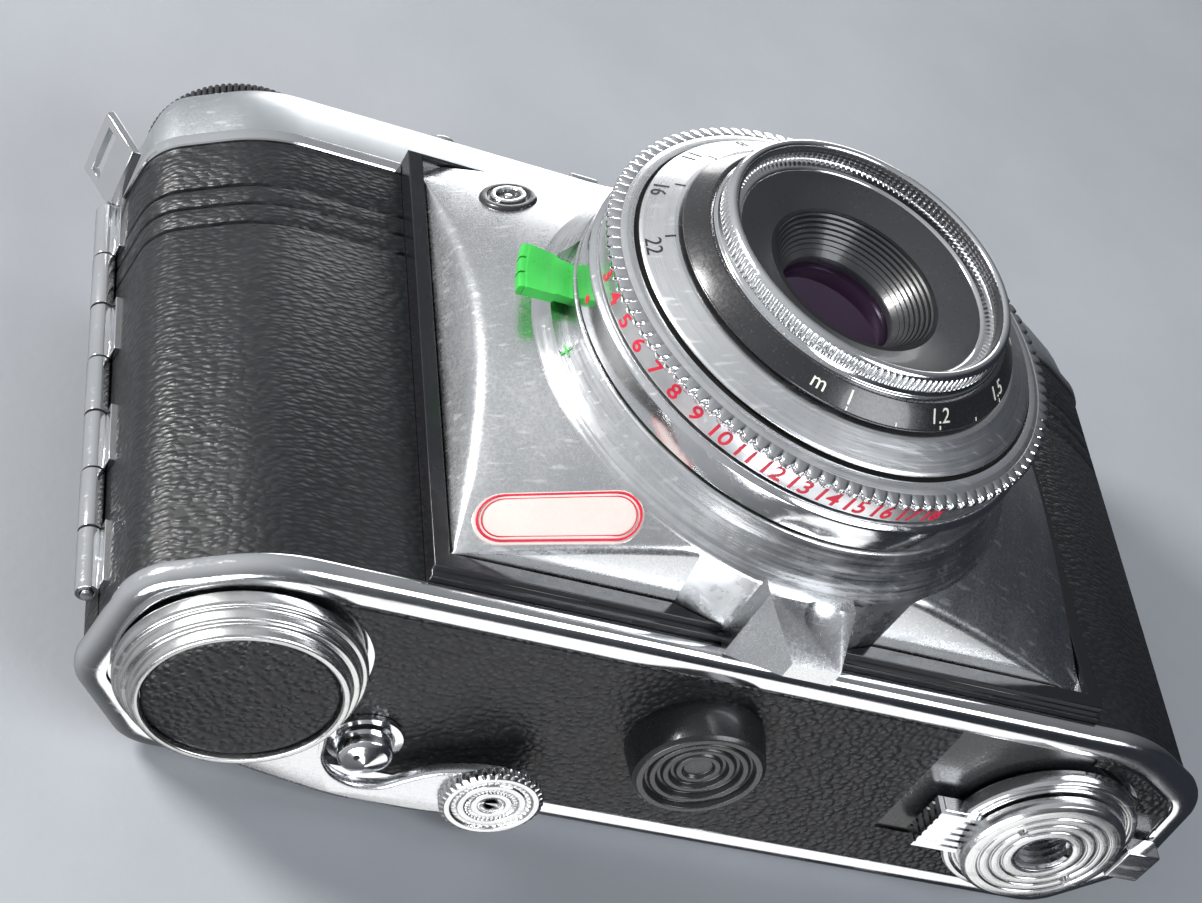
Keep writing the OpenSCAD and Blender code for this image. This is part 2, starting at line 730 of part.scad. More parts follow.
module film_sprocket() {
    z0 = base_h + 0.6;
    color("silver") seat() {
        post(sprocket, 1.5, z0, gear_z + gear_h);
        post(sprocket, 5.3, lens_z - 17, lens_z + 17);
        for (side = [-1, 1]) translate([sprocket[0], sprocket[1], lens_z + side * 14.1 - 0.6]) linear_extrude(1.2)
            toothed(5.2, 6.4, 8, 0.3);
    }
}

spool_teeth = 34;
sprocket_teeth = 36;
gear_module = 2 * norm(sprocket - [hub_x, hub_y]) / (spool_teeth + sprocket_teeth);
gear_line = atan2(sprocket[1] - hub_y, sprocket[0] - hub_x);

module spool_gear() {
    color("goldenrod") seat() gear([hub_x, hub_y], spool_teeth, gear_module, gear_line, 2);
}

module sprocket_gear() {
    color("goldenrod") seat()
        gear(sprocket, sprocket_teeth, gear_module, gear_line + 180 + 180 / sprocket_teeth, 1.5);
}

// ---------------------------------------------------------------- back door

function knuckle_z(i) = hinge_z0 + (hinge_z1 - hinge_z0) * i / knuckles;

// the knuckles of one leaf: every second one, starting with the first or the second
module knuckle_row(first) {
    for (i = [first : 2 : knuckles - 1])
        tube(hinge_at, hinge_r, 0.6 + fit, knuckle_z(i) + 0.1, knuckle_z(i + 1) - 0.1);
}

module hinge_knuckles() {
    color([0.78, 0.79, 0.80]) seat() {
        knuckle_row(0);
        for (i = [0 : 2 : knuckles - 1])
            box([hinge_at[0] + 0.75, door_y - 2.6, knuckle_z(i) + 0.1],
                [side_x + 2.1, door_y - 0.25, knuckle_z(i + 1) - 0.1]);
    }
}

module hinge_pin() {
    color("silver") seat() post(hinge_at, 0.6, hinge_z0 - 0.3, hinge_z1 + 0.3);
}

module back_door() {
    color([0.50, 0.51, 0.52]) seat() {
        slab(door_z0, door_z1) intersection() {
            difference() {
                body_outline(shell_in);
                body_outline(inner_in);
            }
            band(door_y + door_gap / 2, 40);
        }
        knuckle_row(1);
        for (i = [1 : 2 : knuckles - 1])
            box([hinge_at[0] + 0.75, door_y + 0.25, knuckle_z(i) + 0.1],
                [side_x + 2.2, door_y + 2.4, knuckle_z(i + 1) - 0.1]);
    }
}

module door_leather() {
    color([0.09, 0.09, 0.10]) seat() difference() {
        slab(door_z0, door_z1) intersection() {
            difference() {
                body_outline(leather_in);
                body_outline(shell_in);
            }
            band(door_y + door_gap / 2, 40);
        }
        box([side_x - 1, door_y, hinge_z0 - 0.3], [side_x + 2.3, door_y + 2.8, hinge_z1 + 0.3]);
    }
}

module pressure_plate() {
    color([0.14, 0.14, 0.15]) seat()
        box([-23.4, film_y + 0.55, lens_z - 19.4], [26, film_y + 1.7, lens_z + 19.4]);
}

module pressure_springs() {
    // two bowed leaves between the door and the pressure plate
    low = film_y + 1.7;
    high = body_back - inner_in;
    color("silver") seat() for (side = [-1, 1])
        translate([1, 0, lens_z + side * 10 - 3]) linear_extrude(6)
            polygon([[-16, high], [-13, high], [-2, low + 0.3], [2, low + 0.3], [13, high], [16, high],
                [16, high - 0.3], [13, high - 0.3], [2, low], [-2, low], [-13, high - 0.3], [-16, high - 0.3]]);
}

chassis();
film_gate();
front_leather_left();
front_leather_right();
front_frame();
front_plate();
badge();
flash_socket();
front_foot();
shutter_housing();
shutter_case();
lens_barrel();
rear_cell();
rear_lens();
shutter_blades();
base_plate();
base_leather();
base_foot();
tripod_boss();
button_collar();
top_cover();
top_trim();
accessory_shoe();
viewfinder_window();
viewfinder_eyepiece();
strap_lug();
hinge_knuckles();
hinge_pin();
back_door();
door_leather();
pressure_plate();
pressure_springs();
wind_lever();
lever_leather();
lever_grip();
rewind_release_button();
back_lock_ring();
latch_button();
speed_ring();
aperture_ring();
distance_scale();
focus_ring();
name_ring();
front_lens();
iris_blade_1();
iris_blade_2();
iris_blade_3();
iris_blade_4();
iris_blade_5();
sync_lever();
shutter_button();
shutter_spring();
counter_dial();
rewind_clip();
rewind_knob();
rewind_fork();
take_up_spool();
spool_gear();
film_sprocket();
sprocket_gear();
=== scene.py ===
"""Looks, light and view of the viewfinder camera. Lengths are millimetres in the design's working datum; P() turns them
into the part's frame in metres."""
import json
import math

import bmesh
import bpy
from mathutils import Matrix, Vector


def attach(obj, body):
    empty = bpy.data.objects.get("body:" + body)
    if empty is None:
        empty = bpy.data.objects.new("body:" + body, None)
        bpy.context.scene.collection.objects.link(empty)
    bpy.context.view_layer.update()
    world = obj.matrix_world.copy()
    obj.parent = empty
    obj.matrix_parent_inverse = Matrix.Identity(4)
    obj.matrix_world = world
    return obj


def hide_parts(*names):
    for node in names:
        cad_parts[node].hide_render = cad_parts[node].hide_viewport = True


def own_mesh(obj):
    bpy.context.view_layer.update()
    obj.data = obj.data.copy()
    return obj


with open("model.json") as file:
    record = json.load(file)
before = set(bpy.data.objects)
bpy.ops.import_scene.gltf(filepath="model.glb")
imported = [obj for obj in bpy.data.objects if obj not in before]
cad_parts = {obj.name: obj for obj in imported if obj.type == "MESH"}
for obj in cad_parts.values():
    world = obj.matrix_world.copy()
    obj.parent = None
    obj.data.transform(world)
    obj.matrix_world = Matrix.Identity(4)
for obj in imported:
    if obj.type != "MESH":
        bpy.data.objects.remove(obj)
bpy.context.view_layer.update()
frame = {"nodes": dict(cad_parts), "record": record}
NODES = frame["nodes"]

SHIFT = (3.7, -1.65, 4.4)
LENS_Z = 30.8
HUB = (-50.4, 16.0)
TRIPOD = (41.7, 16.5)
GRIP = (-20.4, 25.4)
RELEASE = (-34.8, 23.6)
FOOT = (-2.2, 14.1)
DIAL = (-50.0, 18.6)
BUTTON = (-27.5, 11.5)
HINGE = (-65.3, 17.55)
BODY_CX = -2.6
CORNERS = [(-50, 0.8), (50, 0.8), (61.3, 7.2), (62.8, 22.5), (54.5, 32.4), (-54.5, 32.4), (-62.8, 22.5), (-61.3, 7.2)]
CORNER_R = [18, 18, 7, 6, 6, 6, 6, 7]


def P(x, y, z):
    """A working point in millimetres as a point of the part's frame in metres."""
    return ((x + SHIFT[0]) / 1000, (y + SHIFT[1]) / 1000, (z + SHIFT[2]) / 1000)


# ---------------------------------------------------------------- materials


class Nodes:
    """A material's node tree, with short ways to add and link nodes."""

    def __init__(self, name):
        self.mat = bpy.data.materials.new(name)
        self.mat.use_nodes = True
        self.tree = self.mat.node_tree
        self.bsdf = self.tree.nodes["Principled BSDF"]
        self.coords = self.tree.nodes.new("ShaderNodeTexCoord").outputs["Object"]

    def add(self, kind, inputs=None, **settings):
        node = self.tree.nodes.new("ShaderNode" + kind)
        for key, value in settings.items():
            setattr(node, key, value)
        for key, value in (inputs or {}).items():
            if isinstance(value, bpy.types.NodeSocket):
                self.tree.links.new(value, node.inputs[key])
            else:
                node.inputs[key].default_value = value
        return node

    def math(self, operation, a, b=0.0):
        return self.add("Math", {0: a, 1: b}, operation=operation).outputs[0]

    def scaled(self, scale):
        return self.add("Mapping", {"Vector": self.coords, "Scale": scale}).outputs[0]

    def noise(self, vector, scale=1.0, detail=3.0, rough=0.55):
        made = self.add("TexNoise", {"Vector": vector, "Scale": scale, "Detail": detail, "Roughness": rough})
        return made.outputs[0]

    def spread(self, value, low, high, start=0.3, stop=0.7):
        inputs = {"Value": value, "From Min": start, "From Max": stop, "To Min": low, "To Max": high}
        return self.add("MapRange", inputs).outputs[0]

    def blend(self, factor, first, second):
        made = self.add("Mix", {0: factor, 6: (*first, 1), 7: (*second, 1)}, data_type="RGBA")
        return made.outputs[2]

    def polar(self, centre, axis):
        """Radius and angle about an axis along "Y" or "Z" through centre, in metres and radians."""
        split = self.add("SeparateXYZ", {0: self.coords}).outputs
        first = self.math("SUBTRACT", split[0], centre[0])
        second = self.math("SUBTRACT", split[2 if axis == "Y" else 1], centre[1])
        squares = self.math("ADD", self.math("MULTIPLY", first, first), self.math("MULTIPLY", second, second))
        return self.math("SQRT", squares), self.math("ARCTAN2", second, first)

    def bump(self, height, strength, distance):
        return self.add("Bump", {"Height": height, "Strength": strength, "Distance": distance}).outputs[0]

    def feed(self, **sockets):
        for key, value in sockets.items():
            socket = self.bsdf.inputs[key.replace("_", " ")]
            if isinstance(value, bpy.types.NodeSocket):
                self.tree.links.new(value, socket)
            else:
                socket.default_value = value


GRAIN_DEPTH = 0.00004


def tone(colour, factor):
    """The colour made lighter or darker."""
    return tuple(min(1.0, c * factor) for c in colour)


def metal(name, colour, rough, spread=0.08, grain=2600.0, bump=0.12, tint=0.10, brush=None, smudge=0.10):
    """Metal with fine grain, faint scratches and smudges; brush=(centre, axis) turns the grain into rings."""
    n = Nodes(name)
    if brush:
        radius, angle = n.polar(*brush)
        rings = n.add("CombineXYZ", {0: n.math("MULTIPLY", radius, 5200.0), 1: n.math("MULTIPLY", angle, 1.6)})
        fine = n.noise(rings.outputs[0], 1.0, 4.0, 0.65)
    else:
        fine = n.noise(n.coords, grain, 4.0, 0.6)
    smears = n.noise(n.scaled((1.0, 1.0, 0.55)), 95.0, 5.0, 0.62)
    lines = n.noise(n.scaled((0.16, 1.0, 1.9)), 900.0, 2.0, 0.5)
    patches = n.spread(smears, -smudge, smudge, 0.32, 0.68)
    worn = n.math("ADD", n.spread(fine, rough - spread, rough + spread), patches)
    scratches = n.spread(lines, 0.0, 0.10, 0.60, 0.72)
    n.feed(Roughness=n.math("MAXIMUM", n.math("ADD", worn, scratches), 0.05), Metallic=1.0)
    n.feed(Base_Color=n.blend(n.spread(smears, 0.0, 1.0), tone(colour, 1 - tint), tone(colour, 1 + tint)))
    n.feed(Normal=n.bump(n.math("ADD", fine, n.math("MULTIPLY", scratches, 3.0)), bump, GRAIN_DEPTH))
    return n.mat


def coating(name, colour, rough, grain=2200.0, bump=0.15, tint=0.18, dust=0.05, coat=0.0, metallic=0.0):
    """Paint, lacquer, enamel or moulded plastic, with fine grain, colour variation and a little dust."""
    n = Nodes(name)
    fine = n.noise(n.coords, grain, 4.0, 0.6)
    broad = n.noise(n.coords, 120.0, 4.0, 0.6)
    specks = n.spread(n.noise(n.coords, 3800.0, 1.0), 0.0, dust, 0.66, 0.74)
    base = n.blend(n.spread(broad, 0.0, 1.0), tone(colour, 1 - tint), tone(colour, 1 + tint))
    pale = n.add("Mix", {0: specks, 6: base, 7: (0.55, 0.54, 0.52, 1)}, data_type="RGBA").outputs[2]
    n.feed(Base_Color=pale, Metallic=metallic)
    n.feed(Roughness=n.math("ADD", n.spread(fine, rough - 0.06, rough + 0.06), n.spread(broad, -0.05, 0.05)))
    n.feed(Normal=n.bump(fine, bump, GRAIN_DEPTH), Coat_Weight=coat, Coat_Roughness=0.08)
    return n.mat


def leather(name, cell, colour, rough, depth):
    """Pressed leatherette: rounded pebbles of cell=(x, y, z) millimetres parted by creases."""
    n = Nodes(name)
    drift = n.add("TexNoise", {"Vector": n.coords, "Scale": 700.0, "Detail": 1.0})
    moved = n.add("VectorMath", {0: drift.outputs[1], 1: (0.0006, 0.0006, 0.0006)}, operation="MULTIPLY").outputs[0]
    placed = n.add("VectorMath", {0: n.coords, 1: moved}, operation="ADD").outputs[0]
    grid = n.add("Mapping", {"Vector": placed, "Scale": tuple(1000 / c for c in cell)}).outputs[0]
    pebble = n.add("TexVoronoi", {"Vector": grid, "Scale": 1.0, "Randomness": 0.85}, feature="F1")
    crease = n.spread(pebble.outputs[0], 1.0, 0.0, 0.15, 0.75)
    pores = n.noise(n.coords, 5200.0, 3.0, 0.6)
    broad = n.noise(n.coords, 70.0, 4.0, 0.6)
    height = n.math("ADD", crease, n.math("MULTIPLY", pores, 0.12))
    # painted shade: the colour darkens into the creases between the pebbles and is lighter on their tops; the broad
    # noise over it is random tone
    crease_shade_and_tone = n.math("MULTIPLY", crease, n.spread(broad, 0.75, 1.0))
    n.feed(Base_Color=n.blend(crease_shade_and_tone, tone(colour, 0.45), tone(colour, 1.35)))
    n.feed(Roughness=n.math("ADD", n.spread(crease, rough + 0.16, rough, 0.0, 1.0), n.spread(broad, -0.05, 0.06)))
    n.feed(Normal=n.bump(height, 0.6, depth), Specular_IOR_Level=0.4)
    return n.mat


def glass(name, tint, rough):
    """Coated lens glass with a faint haze of dust; its tint is lighter at glancing angles, a painted sheen."""
    n = Nodes(name)
    haze = n.noise(n.coords, 2400.0, 3.0, 0.6)
    edge = n.add("LayerWeight", {"Blend": 0.35}).outputs["Facing"]
    # painted sheen: the tint turns lighter towards glancing angles
    n.feed(Base_Color=n.blend(edge, tint, tone(tint, 1.7)), Metallic=0.0, IOR=1.62)
    n.feed(Roughness=n.spread(haze, rough, rough + 0.05, 0.5, 0.8), Transmission_Weight=0.75)
    n.feed(Normal=n.bump(haze, 0.02, 0.00002), Coat_Weight=0.8, Coat_Roughness=0.02, Coat_Tint=(0.55, 0.35, 0.75, 1))
    return n.mat


LENS_AXIS = ((SHIFT[0] / 1000, (LENS_Z + SHIFT[2]) / 1000), "Y")


def upright_axis(at):
    """The centre and direction that brushed rings about a vertical axis need, in the part's frame."""
    return ((at[0] + SHIFT[0]) / 1000, (at[1] + SHIFT[1]) / 1000), "Z"


MATS = {
    "dark_casting": coating("dark_casting", (0.045, 0.045, 0.05), 0.45, 1800, 0.3),
    "leather": leather("leather", (1.15, 1.15, 0.5), (0.011, 0.012, 0.014), 0.35, 0.00014),
    "base_leather": leather("base_leather", (0.85, 0.85, 0.85), (0.010, 0.010, 0.011), 0.26, 0.00017),
    "black_frame": coating("black_frame", (0.008, 0.008, 0.010), 0.20, 1500, 0.06, 0.12, 0.02, coat=0.15),
    "satin_chrome": metal("satin_chrome", (0.72, 0.73, 0.74), 0.24, 0.05, 3000, 0.08, 0.06, smudge=0.05),
    "plate_chrome": metal("plate_chrome", (0.70, 0.71, 0.72), 0.27, 0.05, 3000, 0.10, 0.06, smudge=0.05),
    "bright_chrome": metal("bright_chrome", (0.80, 0.81, 0.82), 0.12, 0.03, 3200, 0.04, 0.04, smudge=0.03),
    "brushed_plate": metal("brushed_plate", (0.68, 0.69, 0.70), 0.24, 0.10, bump=0.35, brush=LENS_AXIS),
    "cover_satin": metal("cover_satin", (0.60, 0.63, 0.65), 0.36, 0.05, 4200, 0.15, 0.05, smudge=0.04),
    "white_chrome": metal("white_chrome", (0.86, 0.87, 0.88), 0.30, 0.05, bump=0.12, tint=0.04, brush=LENS_AXIS,
                          smudge=0.04),
    "steel": metal("steel", (0.58, 0.58, 0.60), 0.28, 0.08, 2400, 0.15),
    "boss_steel": metal("boss_steel", (0.74, 0.74, 0.74), 0.20, 0.08, bump=0.35, brush=upright_axis(TRIPOD)),
    "hub_steel": metal("hub_steel", (0.66, 0.66, 0.65), 0.24, 0.08, bump=0.30, tint=0.14, brush=upright_axis(HUB)),
    "grip_steel": metal("grip_steel", (0.74, 0.74, 0.74), 0.20, 0.08, bump=0.30, brush=upright_axis(GRIP)),
    "black_plastic": coating("black_plastic", (0.012, 0.012, 0.013), 0.30, 2400, 0.2, coat=0.2),
    "black_anodised": coating("black_anodised", (0.016, 0.016, 0.018), 0.24, 3000, 0.1, coat=0.35),
    "ring_grey": coating("ring_grey", (0.028, 0.029, 0.032), 0.34, 3000, 0.2, 0.10, coat=0.25),
    "badge_enamel": coating("badge_enamel", (0.60, 0.50, 0.47), 0.26, 1500, 0.10, 0.06, coat=0.5),
    "green_enamel": coating("green_enamel", (0.035, 0.43, 0.06), 0.34, 1700, 0.25, 0.22, coat=0.2),
    "red_paint": coating("red_paint", (0.50, 0.006, 0.03), 0.5, 1500, 0.1, 0.15),
    "cream_paint": coating("cream_paint", (0.72, 0.70, 0.62), 0.5, 1500, 0.1, 0.08),
    "black_paint": coating("black_paint", (0.01, 0.01, 0.012), 0.45, 1500, 0.1, 0.1),
    "glass": glass("glass", (0.10, 0.05, 0.08), 0.01),
    "window_glass": glass("window_glass", (0.55, 0.60, 0.66), 0.02),
    "brass": metal("brass", (0.66, 0.47, 0.20), 0.28, 0.08, 2400, 0.15),
    "blade_steel": coating("blade_steel", (0.04, 0.04, 0.045), 0.34, 2600, 0.2, metallic=0.6),
    "bore_black": coating("bore_black", (0.004, 0.004, 0.005), 0.5, 2600, 0.1, 0.1, 0.0),
    "gap_black": coating("gap_black", (0.004, 0.004, 0.004), 0.7, 2400, 0.1),
}

# ---------------------------------------------------------------- mesh helpers


def finish_piece(obj, mat, body, replaced, sharp):
    """Gives a finished mesh its material and body, and hides the CAD nodes that it stands in for."""
    mesh = obj.data
    mesh.materials.clear()
    mesh.materials.append(MATS[mat])
    for face in mesh.polygons:
        face.use_smooth = True
    mesh.set_sharp_from_angle(angle=math.radians(sharp))
    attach(obj, body)
    if replaced:
        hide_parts(*replaced)
    return obj


def make(name, shape, mat, body="camera", replaced=(), sharp=32, cutters=()):
    """A piece from (points, faces) in working millimetres; cutters are shapes taken out of it."""
    obj = plain(name, shape)
    for cutter in cutters:
        cut_away(obj, cutter)
    return finish_piece(obj, mat, body, replaced, sharp)


def plain(name, shape):
    """A bare mesh object from (points, faces), with its faces turned outwards."""
    points, faces = shape
    bm = bmesh.new()
    made = [bm.verts.new(P(*p)) for p in points]
    for face in faces:
        bm.faces.new([made[i] for i in face])
    bmesh.ops.remove_doubles(bm, verts=bm.verts, dist=1e-6)
    bmesh.ops.recalc_face_normals(bm, faces=bm.faces)
    if bm.calc_volume(signed=True) < 0:
        bmesh.ops.reverse_faces(bm, faces=bm.faces)
    mesh = bpy.data.meshes.new(name)
    bm.to_mesh(mesh)
    bm.free()
    obj = bpy.data.objects.new(name, mesh)
    bpy.context.scene.collection.objects.link(obj)
    return obj


def merged(*shapes):
    """Several (points, faces) shapes as one."""
    points, faces = [], []
    for more_points, more_faces in shapes:
        start = len(points)
        points += more_points
        faces += [tuple(i + start for i in face) for face in more_faces]
    return points, faces


def fillet(profile, radius, steps=3):
    """A closed profile with its corners rounded by short curves."""
    out = []
    for i, corner in enumerate(profile):
        here = Vector(corner)
        back, ahead = Vector(profile[i - 1]) - here, Vector(profile[(i + 1) % len(profile)]) - here
        if corner[0] < 1e-6:
            out.append(tuple(here))
            continue
        cut = min(radius, 0.42 * back.length, 0.42 * ahead.length)
        start, stop = here + back.normalized() * cut, here + ahead.normalized() * cut
        for k in range(steps + 1):
            t = k / steps
            out.append(tuple(start * (1 - t) ** 2 + here * 2 * t * (1 - t) + stop * t * t))
    return out


def lens(r, a, h):
    """Places a turned point about the lens axis; h runs backwards along it."""
    return r * math.cos(a), h, LENS_Z + r * math.sin(a)


def upright(at):
    """A placer for points turned about the vertical axis through at."""
    return lambda r, a, h: (at[0] + r * math.cos(a), at[1] + r * math.sin(a), h)


def spin(profile, place=lens, segments=180, wave=None, sector=None):
    """A turned solid from a closed profile of (radius, height); wave(angle, r, h) may alter the radius."""
    low, high = [math.radians(v) for v in sector] if sector else (0.0, 2 * math.pi)
    turns = segments + 1 if sector else segments
    points, faces, n = [], [], len(profile)
    for k in range(turns):
        a = low + (high - low) * k / segments
        points += [place(wave(a, r, h) if wave else r, a, h) for r, h in profile]
    for k in range(segments):
        k2 = (k + 1) % turns
        for j in range(n):
            j2 = (j + 1) % n
            quad = (k * n + j, k * n + j2, k2 * n + j2, k2 * n + j)
            if profile[j][0] < 1e-6 and profile[j2][0] < 1e-6:
                continue
            if profile[j][0] < 1e-6:
                quad = (j, k * n + j2, k2 * n + j2)
            elif profile[j2][0] < 1e-6:
                quad = (k * n + j, j2, k2 * n + j)
            faces.append(quad)
    if sector:
        faces += [tuple(range(n)), tuple(range((turns - 1) * n, turns * n))]
    return points, faces


def teeth(count, depth, low, high):
    """Rounded teeth: the radius drops by depth between them where low < h < high."""
    def wave(a, r, h):
        if not low < h < high:
            return r
        return r - depth * (1 - abs(math.sin(a * count / 2))) ** 2
    return wave


def moved_corner(before, here, after, d):
    """Where a corner lies once both of its sides have moved inwards by d."""
    a, b = (here - before).normalized(), (after - here).normalized()
    na, nb = Vector((-a.y, a.x)), Vector((-b.y, b.x))
    return here + (na + nb) * d / (1 + na.dot(nb))


def outline(d, steps=12):
    """The body's outline in plan, moved inwards by d."""
    n = len(CORNERS)
    raw = [Vector(p) for p in CORNERS]
    moved = [moved_corner(raw[i - 1], raw[i], raw[(i + 1) % n], d) for i in range(n)]
    out = []
    for i in range(n):
        before, here, after = moved[i - 1], moved[i], moved[(i + 1) % n]
        a, b, r = (here - before).normalized(), (after - here).normalized(), max(CORNER_R[i] - d, 0.4)
        start = here - a * r * math.sqrt((1 - a.dot(b)) / (1 + a.dot(b)))
        centre = start + Vector((-a.y, a.x)) * r
        first = math.atan2(start.y - centre.y, start.x - centre.x)
        sweep = math.acos(a.dot(b))
        for k in range(steps + 1):
            angle = first + sweep * k / steps
            out.append((centre.x + r * math.cos(angle) + BODY_CX, centre.y + r * math.sin(angle)))
    return out


def skin(rows, n, closed=False):
    """The quads between neighbouring rows of n points each; closed joins the last row to the first."""
    quads = []
    for k in range(rows if closed else rows - 1):
        k2 = (k + 1) % rows
        quads += [(k * n + j, k * n + (j + 1) % n, k2 * n + (j + 1) % n, k2 * n + j) for j in range(n)]
    return quads


def caps(rows, n):
    """The faces that close the first and the last row."""
    return [tuple(range(n)), tuple(range((rows - 1) * n, rows * n))]


def loft(levels, closed=False):
    """A solid through the body's outline at each (height, inset); closed joins the last level to the first."""
    loops = [[(x, y, z) for x, y in outline(d)] for z, d in levels]
    n, points = len(loops[0]), [p for loop in loops for p in loop]
    return points, skin(len(loops), n, closed) + ([] if closed else caps(len(loops), n))


def path_where(keep, d, step=0.9):
    """The stretch of the outline at inset d where keep(x, y) holds, cut exactly at its ends."""
    ring = outline(d)
    dense = []
    for i, p in enumerate(ring):
        q = ring[(i + 1) % len(ring)]
        parts = max(1, int(math.dist(p, q) / step))
        dense += [(p[0] + (q[0] - p[0]) * k / parts, p[1] + (q[1] - p[1]) * k / parts) for k in range(parts)]
    flags = [keep(*p) for p in dense]
    first = next(i for i in range(len(dense)) if flags[i] and not flags[i - 1])
    order = [(first + k) % len(dense) for k in range(len(dense))]
    count = next((k for k, i in enumerate(order) if not flags[i]), len(dense))
    run = [dense[i] for i in order[:count]]

    def border(inside, outside):
        for _ in range(24):
            middle = ((inside[0] + outside[0]) / 2, (inside[1] + outside[1]) / 2)
            inside, outside = (middle, outside) if keep(*middle) else (inside, middle)
        return inside
    return [border(run[0], dense[first - 1]), *run, border(run[-1], dense[order[count % len(dense)]])]


def strip(path, base, section):
    """A solid that follows path; section is a closed profile of (inset, z) with path lying at inset base."""
    clean = [p for i, p in enumerate(path) if i == 0 or math.dist(p, path[i - 1]) > 1e-4]
    points, n = [], len(section)
    for i, p in enumerate(clean):
        before, after = clean[max(i - 1, 0)], clean[min(i + 1, len(clean) - 1)]
        t = (Vector(after) - Vector(before)).normalized()
        points += [(p[0] - t.y * (d - base), p[1] + t.x * (d - base), z) for d, z in section]
    return points, skin(len(clean), n) + caps(len(clean), n)


def prism(corners, z0, z1):
    """An upright solid whose plan is corners."""
    points = [(x, y, z) for z in (z0, z1) for x, y in corners]
    return points, skin(2, len(corners)) + caps(2, len(corners))


def brick(low, high):
    """A box between two corners."""
    corners = [(low[0], low[1]), (high[0], low[1]), (high[0], high[1]), (low[0], high[1])]
    return prism(corners, low[2], high[2])


def cut_away(obj, cutter):
    """Takes the shape cutter out of obj's mesh."""
    tool = plain("cutter", cutter)
    boolean = obj.modifiers.new("cut", "BOOLEAN")
    boolean.operation = "DIFFERENCE"
    boolean.solver = "EXACT"
    boolean.object = tool
    depsgraph = bpy.context.evaluated_depsgraph_get()
    cut = bpy.data.meshes.new_from_object(obj.evaluated_get(depsgraph))
    obj.modifiers.clear()
    obj.data = cut
    bpy.data.objects.remove(tool)


def ground(name, node, width, mat, angle=35, cutter=None):
    """A CAD node's solid with its edges rounded off by width millimetres."""
    bm = bmesh.new()
    bm.from_mesh(NODES[node].data)
    bmesh.ops.remove_doubles(bm, verts=bm.verts, dist=1e-6)
    bmesh.ops.dissolve_limit(bm, angle_limit=math.radians(0.6), verts=bm.verts, edges=bm.edges)
    mesh = bpy.data.meshes.new(name)
    bm.to_mesh(mesh)
    bm.free()
    obj = bpy.data.objects.new(name, mesh)
    bpy.context.scene.collection.objects.link(obj)
    if cutter:
        cut_away(obj, cutter)
    bevel = obj.modifiers.new("edges", "BEVEL")
    bevel.width = width / 1000
    bevel.segments = 3
    bevel.limit_method = "ANGLE"
    bevel.angle_limit = math.radians(angle)
    body = next(b for b, names in frame["record"]["behaviour"]["bodies"].items() if node in names)
    return finish_piece(obj, mat, body, (node,), 32)


DIGIT_SHARE = 0.69  # the height of a digit as a share of the font's size


def glyphs(text, height, shear=0.0, weight=0.0):
    """The outline of generic numerals as a thin solid, centred, in millimetres."""
    curve = bpy.data.curves.new("numerals", "FONT")
    curve.body = text
    curve.size = height / DIGIT_SHARE
    curve.shear = shear
    curve.extrude = 0.02
    curve.resolution_u = 3
    curve.offset = weight * height
    curve.align_x = "CENTER"
    obj = bpy.data.objects.new("numerals", curve)
    bpy.context.scene.collection.objects.link(obj)
    mesh = obj.evaluated_get(bpy.context.evaluated_depsgraph_get()).to_mesh()
    points = [(v.co.x, v.co.y - height / 2, v.co.z) for v in mesh.vertices]
    faces = [tuple(f.vertices) for f in mesh.polygons]
    bpy.data.objects.remove(obj)
    return points, faces


def bar(width, height):
    """A thin flat bar for a tick or dash, centred."""
    w, h, t = width / 2, height / 2, 0.02
    corners = [(-w, -h), (w, -h), (w, h), (-w, h)]
    points = [(x, y, z) for z in (-t, t) for x, y in corners]
    return points, [(3, 2, 1, 0), (4, 5, 6, 7), (0, 1, 5, 4), (1, 2, 6, 5), (2, 3, 7, 6), (3, 0, 4, 7)]


def round_about(shape, degrees, radius, height, slope, lift=0.03, rise=0.0):
    """Bends a flat shape round the lens axis; its up direction runs along slope = (radial, axial)."""
    length = math.hypot(*slope)
    up = (slope[0] / length, slope[1] / length)
    out = (-up[1], up[0])
    a0 = math.radians(degrees)
    points = []
    for u, v, w in shape[0]:
        v += rise
        w += lift
        r = radius + up[0] * v + out[0] * w
        points.append(lens(r, a0 + u / radius, height + up[1] * v + out[1] * w))
    return points, shape[1]


# ---------------------------------------------------------------- every CAD node gets its finish

KEPT = {
    "base_leather": "base_leather", "viewfinder_window": "window_glass", "film_gate": "bright_chrome",
}
for entry in frame["record"]["subparts"]:
    node_mesh = NODES[entry["node"]].data
    node_mesh.materials.clear()
    node_mesh.materials.append(MATS[KEPT.get(entry["node"], entry["material_slot"])])

# ---------------------------------------------------------------- body

EDGE = [(2.4, 1.0), (2.4, 0.5), (2.3, 0.22), (2.05, 0.05), (1.7, 0.0), (1.25, 0.0), (0.85, 0.10), (0.5, 0.32),
        (0.22, 0.68), (0.06, 1.15), (0.0, 1.7), (0.0, 2.7), (0.07, 3.05), (0.38, 3.2), (0.42, 4.2)]
make("base_pan", loft(EDGE), "bright_chrome", replaced=("base_plate",))

TOP_EDGE = [(59.6, 0.9), (59.62, 0.68), (59.75, 0.53), (60.1, 0.5), (60.8, 0.5), (61.15, 0.56), (61.3, 0.85),
            (61.3, 2.0), (59.6, 2.0)]
frame_gap = brick((-37.2, -3, 59), (40.0, 3.2, 62))
make("top_band", loft(TOP_EDGE, closed=True), "bright_chrome", replaced=("top_trim",), cutters=[frame_gap])

